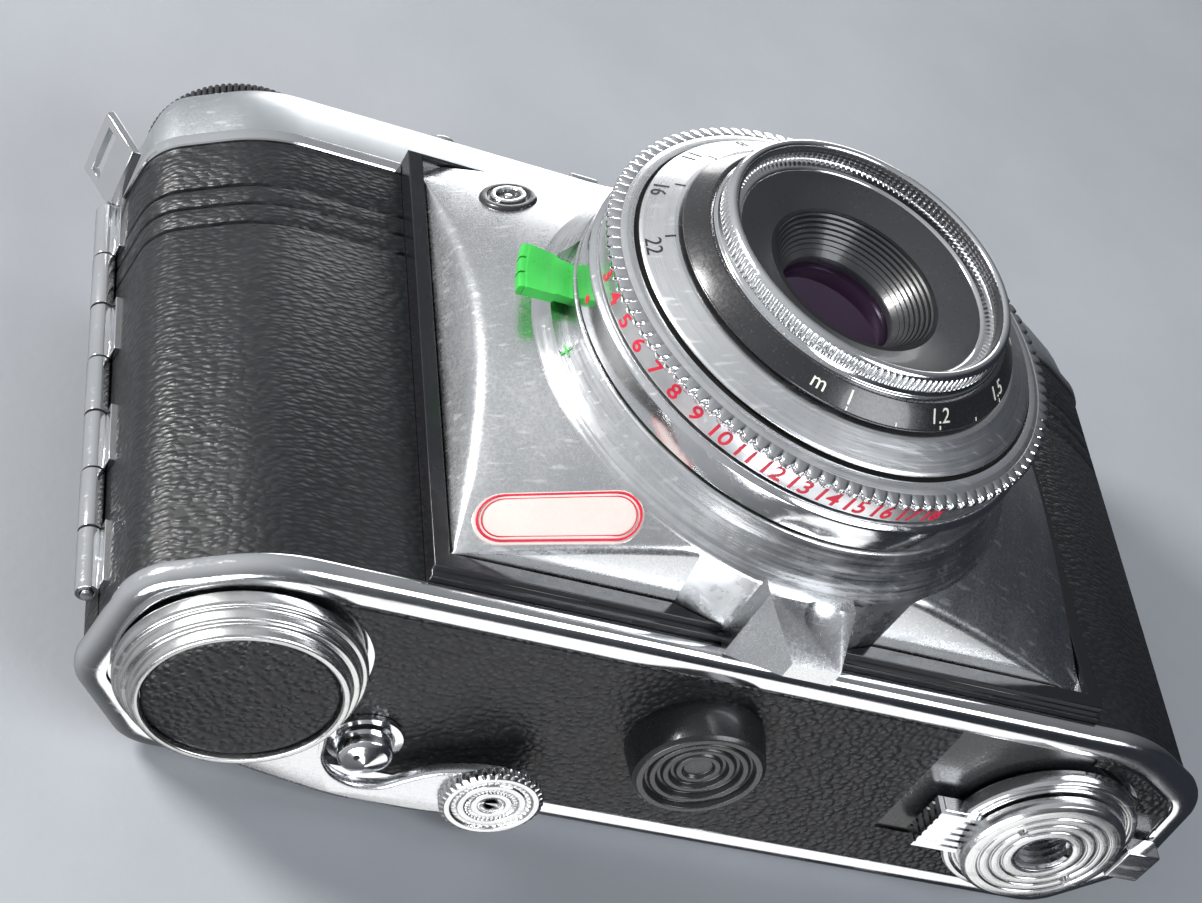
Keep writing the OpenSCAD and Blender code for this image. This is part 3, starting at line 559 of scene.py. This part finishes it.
SKIN = [(1.55, 2.45), (1.0, 2.45), (0.84, 2.55), (0.8, 2.75)]
for line in (47.0, 49.9, 52.7):
    SKIN += [(0.8, line - 0.42), (0.86, line - 0.26), (1.22, line), (0.86, line + 0.26), (0.8, line + 0.42)]
SKIN += [(0.8, 59.3), (0.84, 59.48), (1.0, 59.57), (1.55, 59.57)]
DOOR_SKIN = [(d, max(z, 2.95)) for d, z in SKIN[2:-2]]
DOOR_SKIN = [(1.55, 2.9), (1.0, 2.9), *DOOR_SKIN[1:-1], (0.86, 59.2), (1.0, 59.28), (1.55, 59.28)]
PANELS = {
    "covering_left": (lambda x, y: x < -37.15 and y < 17.35, SKIN, "front_leather_left", "camera"),
    "covering_right": (lambda x, y: x > 39.95 and y < 17.35, SKIN, "front_leather_right", "camera"),
    "covering_door": (lambda x, y: y > 17.65, DOOR_SKIN, "door_leather", "door"),
}
for name, (keep, section, node, body) in PANELS.items():
    make(name, strip(path_where(keep, 0.8), 0.8, section), "leather", body, (node,), 24)

COVER = [(61.3, 1.2), (62.2, 1.22), (64.3, 1.4), (66.2, 1.65), (67.8, 2.0), (69.2, 2.5), (70.4, 3.1), (71.5, 4.0),
         (72.3, 5.0), (72.95, 6.4), (73.3, 8.0), (73.4, 9.8)]
COVER_WALL = 1.1
INNER = [(z - COVER_WALL, d + COVER_WALL) for z, d in reversed(COVER)]
INNER[-1] = (60.0, 2.3)  # past the rim, so that the shell opens downwards
finder_hole = brick((-3, -2, 62.8), (11, 12, 70.0))
shaft_holes = [spin([(0, 60), (r, 60), (r, 90), (0, 90)], upright(at), 32)
               for at, r in ((DIAL, 2.1), (TRIPOD, 3.4), (BUTTON, 3.06))]
EYE = (4.0, 66.4)
eye_hole = spin([(0, 26), (4.2, 26), (4.2, 40), (0, 40)],
                lambda r, a, h: (EYE[0] + r * math.cos(a), h, EYE[1] + r * math.sin(a)), 40)
make("cover_shell", loft(COVER), "cover_satin", replaced=("top_cover",), sharp=40,
     cutters=[loft(INNER), finder_hole, *shaft_holes, eye_hole])
make("dial_seat", spin(fillet([(9.2, 70.6), (10.2, 70.6), (10.2, 73.4), (9.2, 73.4)], 0.2), upright(DIAL), 96),
     "cover_satin")

ground("front_surround", "front_frame", 0.22, "black_frame")


CONE_R = 28.2
CONE_DEPTH = 8.2
CONE_SLOPE = 0.5
PLATE_X = (-35.3, 38.1)
PLATE_Z = (5.0, 60.7)


def cone(r):
    """How far the front plate's cone stands out at the radius r from the lens axis."""
    return CONE_DEPTH - CONE_SLOPE * (r - CONE_R)


def plate_shape():
    """The pressed front plate: a shallow cone round the lens, cut off by four sloping walls."""
    # each wall's direction, distance from the lens axis and lean
    walls = [(0.0, PLATE_X[1], 0.4), (90.0, PLATE_Z[1] - LENS_Z, 0.5), (180.0, -PLATE_X[0], 0.4),
             (270.0, LENS_Z - PLATE_Z[0], 0.04)]
    corner_angles = []
    for (a0, d0, _), (a1, d1, _) in zip(walls, walls[1:] + walls[:1]):
        x, z = (d0, d1) if a0 in (0.0, 180.0) else (d1, d0)
        x *= -1 if 180.0 in (a0, a1) else 1
        z *= -1 if 270.0 in (a0, a1) else 1
        corner_angles.append(math.degrees(math.atan2(z, x)) % 360)
    angles = sorted([k * 0.75 for k in range(480)] + corner_angles)
    points = []
    for degrees in angles:
        a = math.radians(degrees)
        best = None
        for wall, distance, lean in walls:
            c = math.cos(a - math.radians(wall))
            if c <= 0.02:
                continue
            # where the cone meets the wall r c = distance - lean * depth
            crease = (distance - lean * cone(0)) / (c - CONE_SLOPE * lean)
            if crease < CONE_R:
                crease = (distance - lean * CONE_DEPTH) / c
            edge = distance / c
            if best is None or edge < best[1]:
                best = (crease, edge)
        crease, edge = best
        depth = min(CONE_DEPTH, cone(crease))
        inner_r = min(CONE_R - 0.05, crease - 1.4)
        soft = min(0.9, max(0.25, depth * 0.3), (crease - inner_r) * 0.6)

        def wall_point(t):
            return crease + (edge - crease) * t, max(depth * (1 - t), 0.0)
        radii = [inner_r + (crease - soft - inner_r) * k / 6 for k in range(7)]
        row = [(r, min(CONE_DEPTH, cone(r))) for r in radii]
        length = max(math.hypot(edge - crease, depth), 1e-3)
        start, turn, stop = row[-1], (crease, max(depth, 0.0)), wall_point(min(0.5, soft / length))
        for k in range(1, 6):
            t = k / 5
            row.append(tuple(start[i] * (1 - t) ** 2 + turn[i] * 2 * t * (1 - t) + stop[i] * t * t for i in (0, 1)))
        last = min(0.5, soft / length)
        row += [wall_point(last + (1 - last) * k / 3) for k in (1, 2, 3)]
        row += [(edge, -2.0), (inner_r, -2.0)]
        points += [lens(r, a, -depth_here) for r, depth_here in row]
    return points, skin(len(angles), len(points) // len(angles), closed=True)


FLASH = (-27.4, 53.3)


def flash(r, a, h):
    """A point of the flash socket: h is how far it stands out of the plate's cone along the cone's own normal."""
    x, z = FLASH[0], FLASH[1] - LENS_Z
    size = math.hypot(x, z)
    centre = Vector((FLASH[0], -cone(size), FLASH[1]))
    normal = Vector((CONE_SLOPE * x / size, -1, CONE_SLOPE * z / size)).normalized()
    side = normal.cross(Vector((0, 0, 1))).normalized()
    return tuple(centre + side * r * math.cos(a) + side.cross(normal) * r * math.sin(a) + normal * h)


make("pressed_front", plate_shape(), "plate_chrome", replaced=("front_plate",), sharp=50)
BEZEL = [(0, -0.6), (0, 0.06), (2.2, 0.06), (2.35, 0.34), (2.95, 0.34), (3.2, 0.02), (3.2, -0.6)]
make("socket_bezel", spin(fillet(BEZEL, 0.1), flash, 56), "black_anodised")
make("socket_tube", merged(
    spin(fillet([(1.35, -2), (1.35, 0.5), (1.95, 0.5), (1.95, -2)], 0.14), flash, 48),
    spin(fillet([(0, -2), (0, 0.3), (0.45, 0.3), (0.45, -2)], 0.12), flash, 24)), "bright_chrome",
     replaced=("flash_socket",))


def pill(half_w, half_h, steps=14):
    """Half-round ended outline, anticlockwise."""
    out = []
    for sign, first in ((1, -90), (-1, 90)):
        for k in range(steps + 1):
            a = math.radians(first + 180 * k / steps)
            out.append((sign * (half_w - half_h) + half_h * math.cos(a), half_h * math.sin(a)))
    return out


BADGE = (-25.8, 8.3)


def badge_point(u, v, lift):
    """A point on the front plate's cone at the badge, lift millimetres proud of it."""
    x, z = BADGE[0] + u, BADGE[1] + v
    return x, -cone(math.hypot(x, z - LENS_Z)) - lift, z


def badge_band(outer, inner, low, high):
    """A thin line on the badge between two outlines."""
    points = [badge_point(u, v, h) for loop, h in ((outer, low), (outer, high), (inner, high), (inner, low))
              for u, v in loop]
    return points, skin(4, len(outer), closed=True)


def badge_disc(outer, low, high, rings=5):
    """The badge's field, which follows the cone."""
    n, points = len(outer), []
    for k in range(rings + 1):
        f = 1 - k / rings if k < rings else 0.02
        points += [badge_point(u * f, v * f, high - (0.12 if k == 0 else 0.0)) for u, v in outer]
    points += [badge_point(u, v, low) for u, v in outer]
    faces = [*skin(rings + 1, n), tuple(range(rings * n, rings * n + n))]
    base = (rings + 1) * n
    faces += [(j, (j + 1) % n, base + (j + 1) % n, base + j) for j in range(n)]
    faces.append(tuple(range(base, base + n)))
    return points, faces


make("badge_field", badge_disc(pill(7.8, 2.6), -0.3, 0.30), "badge_enamel", replaced=("badge",))
make("badge_lines", merged(badge_band(pill(7.55, 2.38), pill(7.38, 2.21), 0.2, 0.36),
                           badge_band(pill(7.1, 1.95), pill(7.02, 1.87), 0.2, 0.35)), "red_paint")

ball = [(4.6 * math.sin(math.pi * k / 24), -4.6 * math.cos(math.pi * k / 24)) for k in range(25)]
scoop = spin(ball, lambda r, a, h: (0.2 + r * math.cos(a), -11.4 + 0.8 * h, -2.2 + r * math.sin(a)), 64)
ground("support_foot", "front_foot", 0.3, "satin_chrome", cutter=scoop)

# ---------------------------------------------------------------- shutter and lens rings

slot_cutter = spin([(25.2, -10.2), (31, -10.2), (31, -13.1), (25.2, -13.1)], lens, 24, sector=(160, 192))
HOUSING = [(24.95, 2.4), (28.2, 2.4), (28.2, -8.2), (27.1, -9.8), (26.2, -11.6), (25.6, -13.3), (24.95, -13.3)]
make("housing_cone", spin(fillet(HOUSING, 0.35), lens, 240), "brushed_plate", replaced=("shutter_housing",),
     cutters=[slot_cutter])
SHADOW = [(23.85, -10.0), (24.9, -10.0), (24.9, -13.25), (23.85, -13.25)]
make("slot_shadow", spin(SHADOW, lens, 40, sector=(158, 194)), "gap_black")
CASE = [(14, 2.4), (23.8, 2.4), (23.8, -13.4), (24.9, -13.4), (24.9, -13.75), (25.6, -13.75), (25.6, -16.75),
        (25.1, -17.25), (20.5, -17.25), (20.5, -21), (18.3, -21), (18.3, -23.6), (14, -23.6)]
make("case_turned", spin(fillet(CASE, 0.16), lens, 240), "bright_chrome", replaced=("shutter_case",))
make("case_gap", spin([(24.0, -13.32), (25.0, -13.32), (25.0, -13.72), (24.0, -13.72)], lens, 180), "gap_black")
SPEED = [(20.56, -17.5), (24.75, -17.5), (24.95, -17.65), (24.95, -20.1), (24.6, -20.15), (24.6, -20.95),
         (23.7, -21.35), (22.95, -21.45), (22.95, -21.2), (20.56, -21.2)]
make("speed_band", spin(fillet(SPEED, 0.08), lens, 240), "white_chrome", "speed", ("speed_ring",))
RIM = [(24.2, -20.1), (25.45, -20.12), (25.6, -20.25), (25.6, -20.85), (25.3, -21.05), (24.3, -21.15)]
make("speed_teeth", spin(RIM, lens, 1080, teeth(108, 0.75, -21.1, -20.11)), "bright_chrome", "speed", sharp=50)
FACE = [(18.36, -21.6), (22.3, -21.6), (22.6, -21.75), (22.6, -21.95), (22.35, -22.15), (19.6, -23.6), (19.2, -23.7),
        (18.36, -23.7)]
make("aperture_face", spin(fillet(FACE, 0.06), lens, 240), "white_chrome", "aperture", ("aperture_ring",))
make("face_gap", spin([(20.6, -21.1), (22.9, -21.1), (22.9, -21.25), (20.6, -21.25)], lens, 180), "gap_black")
DISTANCE = [(16.6, -24.2), (19.0, -24.2), (19.05, -24.5), (17.1, -26.35), (16.6, -26.35)]
make("distance_cone", spin(fillet(DISTANCE, 0.1), lens, 200), "black_anodised", "focus", ("distance_scale",))
FOCUS = [(12.06, -24.1), (16.6, -24.1), (16.6, -26.4), (16.3, -26.5), (16.2, -27.0), (16.25, -27.05), (16.25, -28.55),
         (16.0, -28.95), (15.75, -29.1), (15.45, -29.1), (15.2, -28.9), (15.1, -27.3), (14.9, -27.1), (14.0, -27.0),
         (13.7, -26.8), (13.7, -25.2), (12.06, -25.2)]
make("focus_grip", spin(fillet(FOCUS, 0.12), lens, 1152, teeth(144, 0.32, -28.6, -27.04)), "bright_chrome", "focus",
     ("focus_ring",), sharp=48)
threads = [spin(fillet([(15.16, y), (14.9, y + 0.12), (15.16, y + 0.24)], 0.02), lens, 180)
           for y in (-28.7, -28.3, -27.9, -27.5)]
make("filter_thread", merged(*threads), "ring_grey", "focus")
NAME = [(13.7, -26.7), (9.3, -25.3), (6.4, -21.6), (6.4, -20.7), (7.4, -20.7), (8.8, -24.0), (13.7, -26.0)]
make("front_bezel", spin(fillet(NAME, 0.1), lens, 180), "ring_grey", "focus", ("name_ring",))
ridges = []
for k in range(9):
    r, y = 9.25 - 0.32 * k, -25.45 + 0.45 * k
    ridge = [(r - 0.12, y), (r + 0.45, y + 0.05), (r + 0.4, y + 0.3), (r - 0.1, y + 0.22)]
    ridges.append(spin(fillet(ridge, 0.05), lens, 144))
make("bore_ridges", merged(*ridges), "bore_black", "focus")
GLASS_R, GLASS_RIM, GLASS_BOW = 6.9, -20.54, 0.756
bow = [(GLASS_R * k / 12, GLASS_RIM - GLASS_BOW * math.sqrt(max(0.0, 1 - (k / 12) ** 2))) for k in range(13)]
back = [(r, -18.9) for r in (GLASS_R, 0.0)]
make("front_element", spin(bow + back, lens, 120), "glass", "focus", ("front_lens",), sharp=60)

# green synchroniser lever in the slot
lever = merged(
    spin(fillet([(23.9, -10.9), (27.6, -10.9), (27.6, -11.9), (23.9, -11.9)], 0.15), lens, 20, sector=(166, 177.5)),
    spin(fillet([(27.0, -10.7), (30.4, -10.5), (30.4, -11.8), (27.0, -11.9)], 0.3), lens, 20, sector=(165.4, 177.8)))
for k in range(3):
    lever = merged(lever, spin(fillet([(29.6, -10.5), (31.0, -10.3), (31.0, -11.6), (29.6, -11.85)], 0.4), lens, 8,
                               sector=(165.5 + 4.2 * k, 169.2 + 4.2 * k)))
make("lever_tab", lever, "green_enamel", "sync", sharp=40)
make("lever_ring", spin(fillet([(23.86, -10.7), (24.7, -10.7), (24.7, -12.5), (23.86, -12.5)], 0.1), lens, 120),
     "green_enamel", "sync", ("sync_lever",))

# numerals and marks; each scale lies on its ring's slope, given as (radial, axial)
SPEED_STEP, SEVEN_AT = 6.95, -148.1
marks = [round_about(glyphs(str(n), 1.8, 0.15, 0.022), SEVEN_AT + SPEED_STEP * (n - 7), 24.95, -18.85, (0, -1), 0.02)
         for n in range(3, 19)]
make("speed_numerals", merged(*marks), "red_paint", "speed", sharp=60)
FACE_SLOPE = (-2.75, -1.45)
STOPS = {"22": 180.8, "16": 156.6, "11": 135.0, "8": 113.5, "5.6": 92.0, "4": 70.5, "3.5": 56.0}
marks = [round_about(glyphs(t, 1.65), a, 21.5, -22.6, FACE_SLOPE, 0.02) for t, a in STOPS.items()]
marks += [round_about(bar(0.2, 1.1), a, 19.95, -23.41, FACE_SLOPE, 0.02)
          for a in (177.5, 153.0, 131.5, 110.0, 88.5, 67.0, 53.0)]
make("aperture_numerals", merged(*marks), "black_paint", "aperture", sharp=60)
CONE_FACE = (-1.95, -1.85)
METRES = {"m": -113.6, "1": -102.8, "1.2": -69.5, "1.5": -37.4, "2": -8.0, "3": 24.0, "5": 58.0, "10": 92.0}
marks = [round_about(glyphs(t, 1.5), a, 17.95, -25.55, CONE_FACE, 0.03, -0.05) for t, a in METRES.items()]
marks += [round_about(bar(0.16, 0.4), a, 18.85, -24.72, CONE_FACE, 0.03) for a in (-102.8, -86.0, -69.5, -53.0, -37.4)]
make("distance_numerals", merged(*marks), "cream_paint", "focus", sharp=60)
dot = spin([(0, -0.02), (0.42, -0.02), (0.42, 0.03), (0, 0.03)],
           lambda r, a, h: (r * math.cos(a), r * math.sin(a), h), 20)
make("index_dot", round_about(dot, -175, 25.6, -15.3, (0, -1), 0.01), "red_paint")
strokes = [round_about(bar(w, h), -168, 26.6, -10.9, (-0.9, -1.8), 0.12) for w, h in ((0.16, 1.5), (1.5, 0.16))]
make("index_cross", merged(*strokes), "green_enamel")

# ---------------------------------------------------------------- base

FACE_DOWN = upright(TRIPOD)
BOSS = [(3.175, -4.3), (3.6, -4.4), (4.5, -4.4), (4.6, -4.25), (4.75, -4.25), (4.85, -4.4), (5.8, -4.4), (5.9, -4.25),
        (6.05, -4.25), (6.15, -4.4), (7.1, -4.4), (7.2, -4.22), (7.4, -4.22), (7.5, -4.38), (8.6, -4.3), (9.1, -4.0),
        (9.2, -3.6), (9.2, -2.7), (6.8, -2.6), (6.8, 0.4), (3.175, 3.0)]
pins = [spin([(0, -6), (0.62, -6), (0.62, -3.6), (0, -3.6)], upright((TRIPOD[0] + s * 5.0, TRIPOD[1] + s * 3.4)), 20)
        for s in (-1, 1)]
make("boss_turned", spin(fillet(BOSS, 0.07), FACE_DOWN, 144), "boss_steel", replaced=("tripod_boss",),
     cutters=pins)
THREAD_PITCH, THREAD_TURNS, PER_TURN = 0.85, 7, 48
THREAD = ((3.3, -0.3), (2.72, -0.06), (2.72, 0.06), (3.3, 0.3))
thread_rows = THREAD_TURNS * PER_TURN + 1
coil = [FACE_DOWN(r, 2 * math.pi * k / PER_TURN, -3.9 + THREAD_PITCH * k / PER_TURN + dz)
        for k in range(thread_rows) for r, dz in THREAD]
make("boss_thread", (coil, skin(thread_rows, 4) + caps(thread_rows, 4)), "steel", sharp=20)
make("boss_plug", spin([(0, 2.2), (3.3, 2.2), (3.3, 3.0), (0, 3.0)], FACE_DOWN, 48), "gap_black")
LOCK = [(7.0, -0.2), (7.0, -2.3), (9.4, -2.3), (9.6, -2.05), (9.9, -2.05), (10.1, -2.3), (10.7, -2.25), (10.9, -1.9),
        (10.9, -0.5), (10.6, -0.2)]
make("lock_turned", spin(fillet(LOCK, 0.08), FACE_DOWN, 144), "boss_steel", "lock_ring", ("back_lock_ring",))
tab = brick((28.2, 14.3, -2.4), (32.4, 21.5, -0.7))
RIB_PITCH, HALF_RIB = 1.16, 0.36
for k in range(6):
    y = 14.75 + RIB_PITCH * k
    tab = merged(tab, brick((27.5, y - HALF_RIB, -2.9), (33.2, y + HALF_RIB, -0.65)))
make("lock_tab", tab, "bright_chrome", "lock_ring")
ground("latch_ground", "latch_button", 0.22, "bright_chrome")
# the black well that the lock ring turns in, let into the base leather
WELL = [(24.55, 4.05), (41.7, 4.05), (41.7, 5.2), (50.6, 9.6), (56.2, 11.5), (56.2, 21.7), (50.2, 24.2), (41.7, 27.6),
        (34.0, 24.8), (31.6, 22.75), (24.55, 22.75)]
make("boss_well", prism(WELL, 0.3, 0.5), "black_plastic")

RINGS = [(0, -3.1), (1.5, -3.1), (1.7, -3.5), (2.3, -3.5), (2.5, -3.2), (2.9, -3.2), (3.1, -3.75), (3.7, -3.75),
         (3.9, -3.4), (4.3, -3.4), (4.5, -4.05), (5.1, -4.05), (5.3, -3.7), (5.6, -3.7), (5.8, -4.4), (6.5, -4.4),
         (6.9, -4.0), (7.3, -0.6), (7.3, 0.2), (0, 0.2)]
make("foot_rings", spin(fillet(RINGS, 0.1), upright(FOOT), 120), "black_plastic", replaced=("base_foot",))

HUB_TIERS = [(0, -3.0), (9.6, -3.0), (9.6, -4.3), (9.75, -4.4), (10.25, -4.4), (10.45, -4.2), (10.45, -3.3),
             (10.7, -3.1), (11.2, -3.1), (11.4, -2.9), (11.4, -2.1), (11.6, -1.9), (11.95, -1.9), (12.2, -1.65),
             (12.2, -0.5), (11.9, -0.3), (0, -0.3)]
make("hub_tiers", spin(fillet(HUB_TIERS, 0.12), upright(HUB), 180), "hub_steel", "winder")
PAD = [(0, -4.12), (8.6, -4.06), (9.2, -3.95), (9.45, -3.7), (9.45, -3.0), (0, -3.0)]
make("hub_pad", spin(fillet(PAD, 0.2), upright(HUB), 120), "base_leather", "winder", ("lever_leather",))


def arm_shape():
    """The lever's arm: a smooth outline with rounded edges."""
    cx, cy = HUB
    corners = [(cx + 1, cy + 11.2), (-44, 28.6), (-36, 30.3), (-27, 30.4), (-17.5, 29.5), (-15.6, 27.6), (-16, 24.6),
               (-19.6, 21.4), (-24, 21.9), (-27.5, 23.2), (-30.0, 25.4), (-31.6, 27.2), (-34.4, 27.9), (-37.2, 26.8),
               (-39.0, 24.6), (-39.6, 21.6), (cx + 9, cy)]
    aside = 100  # fillet() leaves points on the axis sharp, so the outline is moved off it and back
    smooth = fillet([(x + aside, y) for x, y in corners], 1.6, 4)
    smooth = [(x - aside, y) for x, y in smooth]
    n = len(smooth)
    normals = []
    for i, p in enumerate(smooth):
        t = (Vector(smooth[(i + 1) % n]) - Vector(smooth[i - 1])).normalized()
        normals.append((-t.y, t.x))
    area = sum(smooth[i - 1][0] * smooth[i][1] - smooth[i][0] * smooth[i - 1][1] for i in range(n))
    sign = 1 if area > 0 else -1
    levels = [(-1.95, 0.25), (-2.05, 0.05), (-2.3, 0.0), (-2.85, 0.0), (-3.05, 0.1), (-3.15, 0.3), (-3.2, 0.6)]
    points = [(p[0] + sign * m[0] * d, p[1] + sign * m[1] * d, z) for z, d in levels for p, m in zip(smooth, normals)]
    return points, skin(len(levels), n) + caps(len(levels), n)


make("lever_arm", arm_shape(), "satin_chrome", "winder", ("wind_lever",), sharp=40)
WHEEL = [(0, -4.15), (1.3, -4.15), (1.45, -4.32), (2.1, -4.32), (2.25, -4.15), (2.7, -4.15), (2.85, -4.35),
         (3.5, -4.35), (3.65, -4.18), (4.1, -4.18), (4.3, -4.4), (4.85, -4.4), (5.4, -4.1), (5.4, -3.35),
         (5.1, -3.15), (0, -3.15)]
make("grip_wheel", spin(fillet(WHEEL, 0.06), upright(GRIP), 432, teeth(36, 0.7, -4.2, -3.2)), "grip_steel", "winder",
     ("lever_grip",), sharp=45)
PUSH = [(0, -3.6), (0.3, -3.55), (2.3, -2.9), (2.75, -2.55), (2.8, -2.1), (2.8, -0.95), (0, -0.95)]
make("release_turned", spin(fillet(PUSH, 0.12), upright(RELEASE), 72), "bright_chrome", "rewind_release",
     ("rewind_release_button",))
DOT_AT = (RELEASE[0] - 1.1, RELEASE[1] - 0.6)
make("release_dot", spin([(0, -3.3), (0.34, -3.3), (0.34, -2.4), (0, -2.4)], upright(DOT_AT), 16), "gap_black",
     "rewind_release")

# ---------------------------------------------------------------- top, hinge and lug

DIAL_PROFILE = [(0, 76.0), (8.6, 76.0), (8.8, 76.2), (10.0, 76.2), (10.6, 75.7), (10.6, 74.1), (10.2, 73.7), (0, 73.7)]
make("dial_turned", spin(fillet(DIAL_PROFILE, 0.12), upright(DIAL), 720, teeth(90, 0.35, 73.9, 75.9)), "black_anodised",
     "counter", ("counter_dial",), sharp=45)
KNOB = [(0, 80.0), (7.6, 80.0), (8.2, 79.7), (8.4, 79.0), (9.3, 78.8), (9.6, 78.4), (9.6, 74.2), (9.2, 73.8), (0, 73.8)]
make("knob_turned", spin(fillet(KNOB, 0.15), upright(TRIPOD), 600, teeth(60, 0.5, 74.1, 78.6)), "bright_chrome",
     "rewind", ("rewind_knob",), sharp=45)
ground("shoe_ground", "accessory_shoe", 0.2, "bright_chrome")
ground("lug_ground", "strap_lug", 0.25, "bright_chrome")
ground("button_ground", "shutter_button", 0.2, "bright_chrome")
ground("eyepiece_ground", "viewfinder_eyepiece", 0.3, "black_plastic")
SPRING_LOW, SPRING_HIGH, BUTTON_TRAVEL, COILS, WIRE = 63.2, 69.6, 2.0, 6, 0.6
coil_pitch = (SPRING_HIGH - SPRING_LOW - WIRE) / (COILS - 1)
wire = [(2.2, SPRING_LOW), (2.8, SPRING_LOW), (2.8, SPRING_LOW + WIRE), (2.2, SPRING_LOW + WIRE)]
coils = [spin(fillet([(r, z + coil_pitch * k) for r, z in wire], 0.2), upright(BUTTON), 32) for k in range(COILS)]
spring = make("button_spring", merged(*coils), "bright_chrome", "camera", ("shutter_spring",))
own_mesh(spring)

ground("knuckles_ground", "hinge_knuckles", 0.16, "bright_chrome", angle=50)
HINGE_LOW, HINGE_HIGH, KNUCKLES, KNUCKLE_GAP = 6.0, 59.0, 7, 0.12
knuckle = (HINGE_HIGH - HINGE_LOW) / KNUCKLES
sleeves = []
for k in range(1, KNUCKLES, 2):
    z0, z1 = HINGE_LOW + knuckle * k + KNUCKLE_GAP, HINGE_LOW + knuckle * (k + 1) - KNUCKLE_GAP
    sleeves.append(spin(fillet([(0.7, z0), (1.23, z0), (1.23, z1), (0.7, z1)], 0.15), upright(HINGE), 40))
make("door_knuckles", merged(*sleeves), "bright_chrome", "door")

# ---------------------------------------------------------------- camera, light and surroundings

camera_data = bpy.data.cameras.new("camera")
camera_data.lens = 72.83
camera_data.sensor_width = 36.0
camera_data.clip_start = 0.005
camera_data.clip_end = 20.0
view_camera = bpy.data.objects.new("camera", camera_data)
bpy.context.scene.collection.objects.link(view_camera)
LOOK = Vector((0.3837, 0.6547, 0.6512)).normalized()
RIGHT = LOOK.cross(Vector((-0.2184, -0.6208, 0.7529))).normalized()
UP = RIGHT.cross(LOOK).normalized()
placing = Matrix((RIGHT, UP, -LOOK)).transposed().to_4x4()
placing.translation = (-0.10957, -0.16561, -0.13510)
view_camera.matrix_world = placing
bpy.context.scene.camera = view_camera

TARGET = Vector((0.0, 0.0, 0.035))


def soft_light(name, right, up, back, size, watts, colour=(1, 1, 1)):
    """A disk light aimed at TARGET from so far right of it, above it and back from it, in the camera's directions."""
    data = bpy.data.lights.new(name, "AREA")
    data.shape = "DISK"
    data.size = size
    data.energy = watts
    data.color = colour
    lamp = bpy.data.objects.new(name, data)
    lamp.visible_camera = False
    bpy.context.scene.collection.objects.link(lamp)
    at = TARGET + RIGHT * right + UP * up - LOOK * back
    lamp.matrix_world = Matrix.Translation(at) @ (TARGET - at).to_track_quat("-Z", "Y").to_matrix().to_4x4()


soft_light("key", -0.34, 0.40, 0.26, 0.16, 5.5, (1.0, 0.99, 0.97))
soft_light("fill", 0.45, -0.10, 0.45, 0.40, 3.0, (0.93, 0.96, 1.0))
soft_light("under", -0.15, -0.50, 0.30, 0.30, 2.3, (0.95, 0.97, 1.0))
soft_light("rear", 0.10, 0.45, -0.45, 0.40, 1.6)
soft_light("base", 0.04, -0.42, -0.07, 0.26, 0.22)

# the sky is brightest above and to the left of the camera
world = bpy.data.worlds.new("studio")
world.use_nodes = True
sky = world.node_tree
sky_in = sky.nodes.new("ShaderNodeTexCoord").outputs["Generated"]
turn = sky.nodes.new("ShaderNodeVectorMath")
turn.operation = "DOT_PRODUCT"
turn.inputs[1].default_value = (-RIGHT * 0.75 + UP * 0.55 - LOOK * 0.35).normalized()
sky.links.new(sky_in, turn.inputs[0])
ramp = sky.nodes.new("ShaderNodeValToRGB")
ramp.color_ramp.elements[0].position = 0.15
ramp.color_ramp.elements[0].color = (0.035, 0.04, 0.05, 1)
ramp.color_ramp.elements[1].position = 0.85
ramp.color_ramp.elements[1].color = (0.75, 0.77, 0.80, 1)
half = sky.nodes.new("ShaderNodeMath")
half.operation = "MULTIPLY_ADD"
half.inputs[1].default_value = 0.5
half.inputs[2].default_value = 0.5
sky.links.new(turn.outputs["Value"], half.inputs[0])
sky.links.new(half.outputs[0], ramp.inputs[0])
sky.links.new(ramp.outputs[0], sky.nodes["Background"].inputs[0])
sky.nodes["Background"].inputs[1].default_value = 0.75
bpy.context.scene.world = world
bpy.context.scene.view_settings.view_transform = "Standard"


def backdrop(name, points):
    """A plain pale plane that is seen from its front only and throws no light or shadow on the object."""
    mesh = bpy.data.meshes.new(name)
    mesh.from_pydata(points, [], [(0, 1, 2, 3)])
    sheet = bpy.data.objects.new(name, mesh)
    bpy.context.scene.collection.objects.link(sheet)
    n = Nodes(name)
    broad = n.noise(n.coords, 9.0, 5.0, 0.6)
    n.feed(Base_Color=n.blend(n.spread(broad, 0.0, 1.0), (0.27, 0.285, 0.31), (0.36, 0.375, 0.40)), Roughness=0.8)
    n.feed(Normal=n.bump(n.noise(n.coords, 900.0, 4.0), 0.2, 0.0002))
    clear = n.add("BsdfTransparent").outputs[0]
    facing = n.add("NewGeometry").outputs["Backfacing"]
    mixed = n.add("MixShader", {0: facing, 1: n.bsdf.outputs[0], 2: clear}).outputs[0]
    n.tree.links.new(mixed, n.tree.nodes["Material Output"].inputs[0])
    mesh.materials.append(n.mat)
    sheet.visible_shadow = False
    sheet.visible_diffuse = False
    sheet.visible_glossy = False
    sheet.visible_transmission = False
    return sheet


WIDE = 1.6
BEHIND = 0.0314
table = backdrop("table", [(x, BEHIND, z) for x, z in ((-WIDE, -WIDE), (WIDE, -WIDE), (WIDE, WIDE), (-WIDE, WIDE))])
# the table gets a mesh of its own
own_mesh(table)
backdrop("floor", [(-WIDE, -WIDE, 0.0), (WIDE, -WIDE, 0.0), (WIDE, WIDE, 0.0), (-WIDE, WIDE, 0.0)])
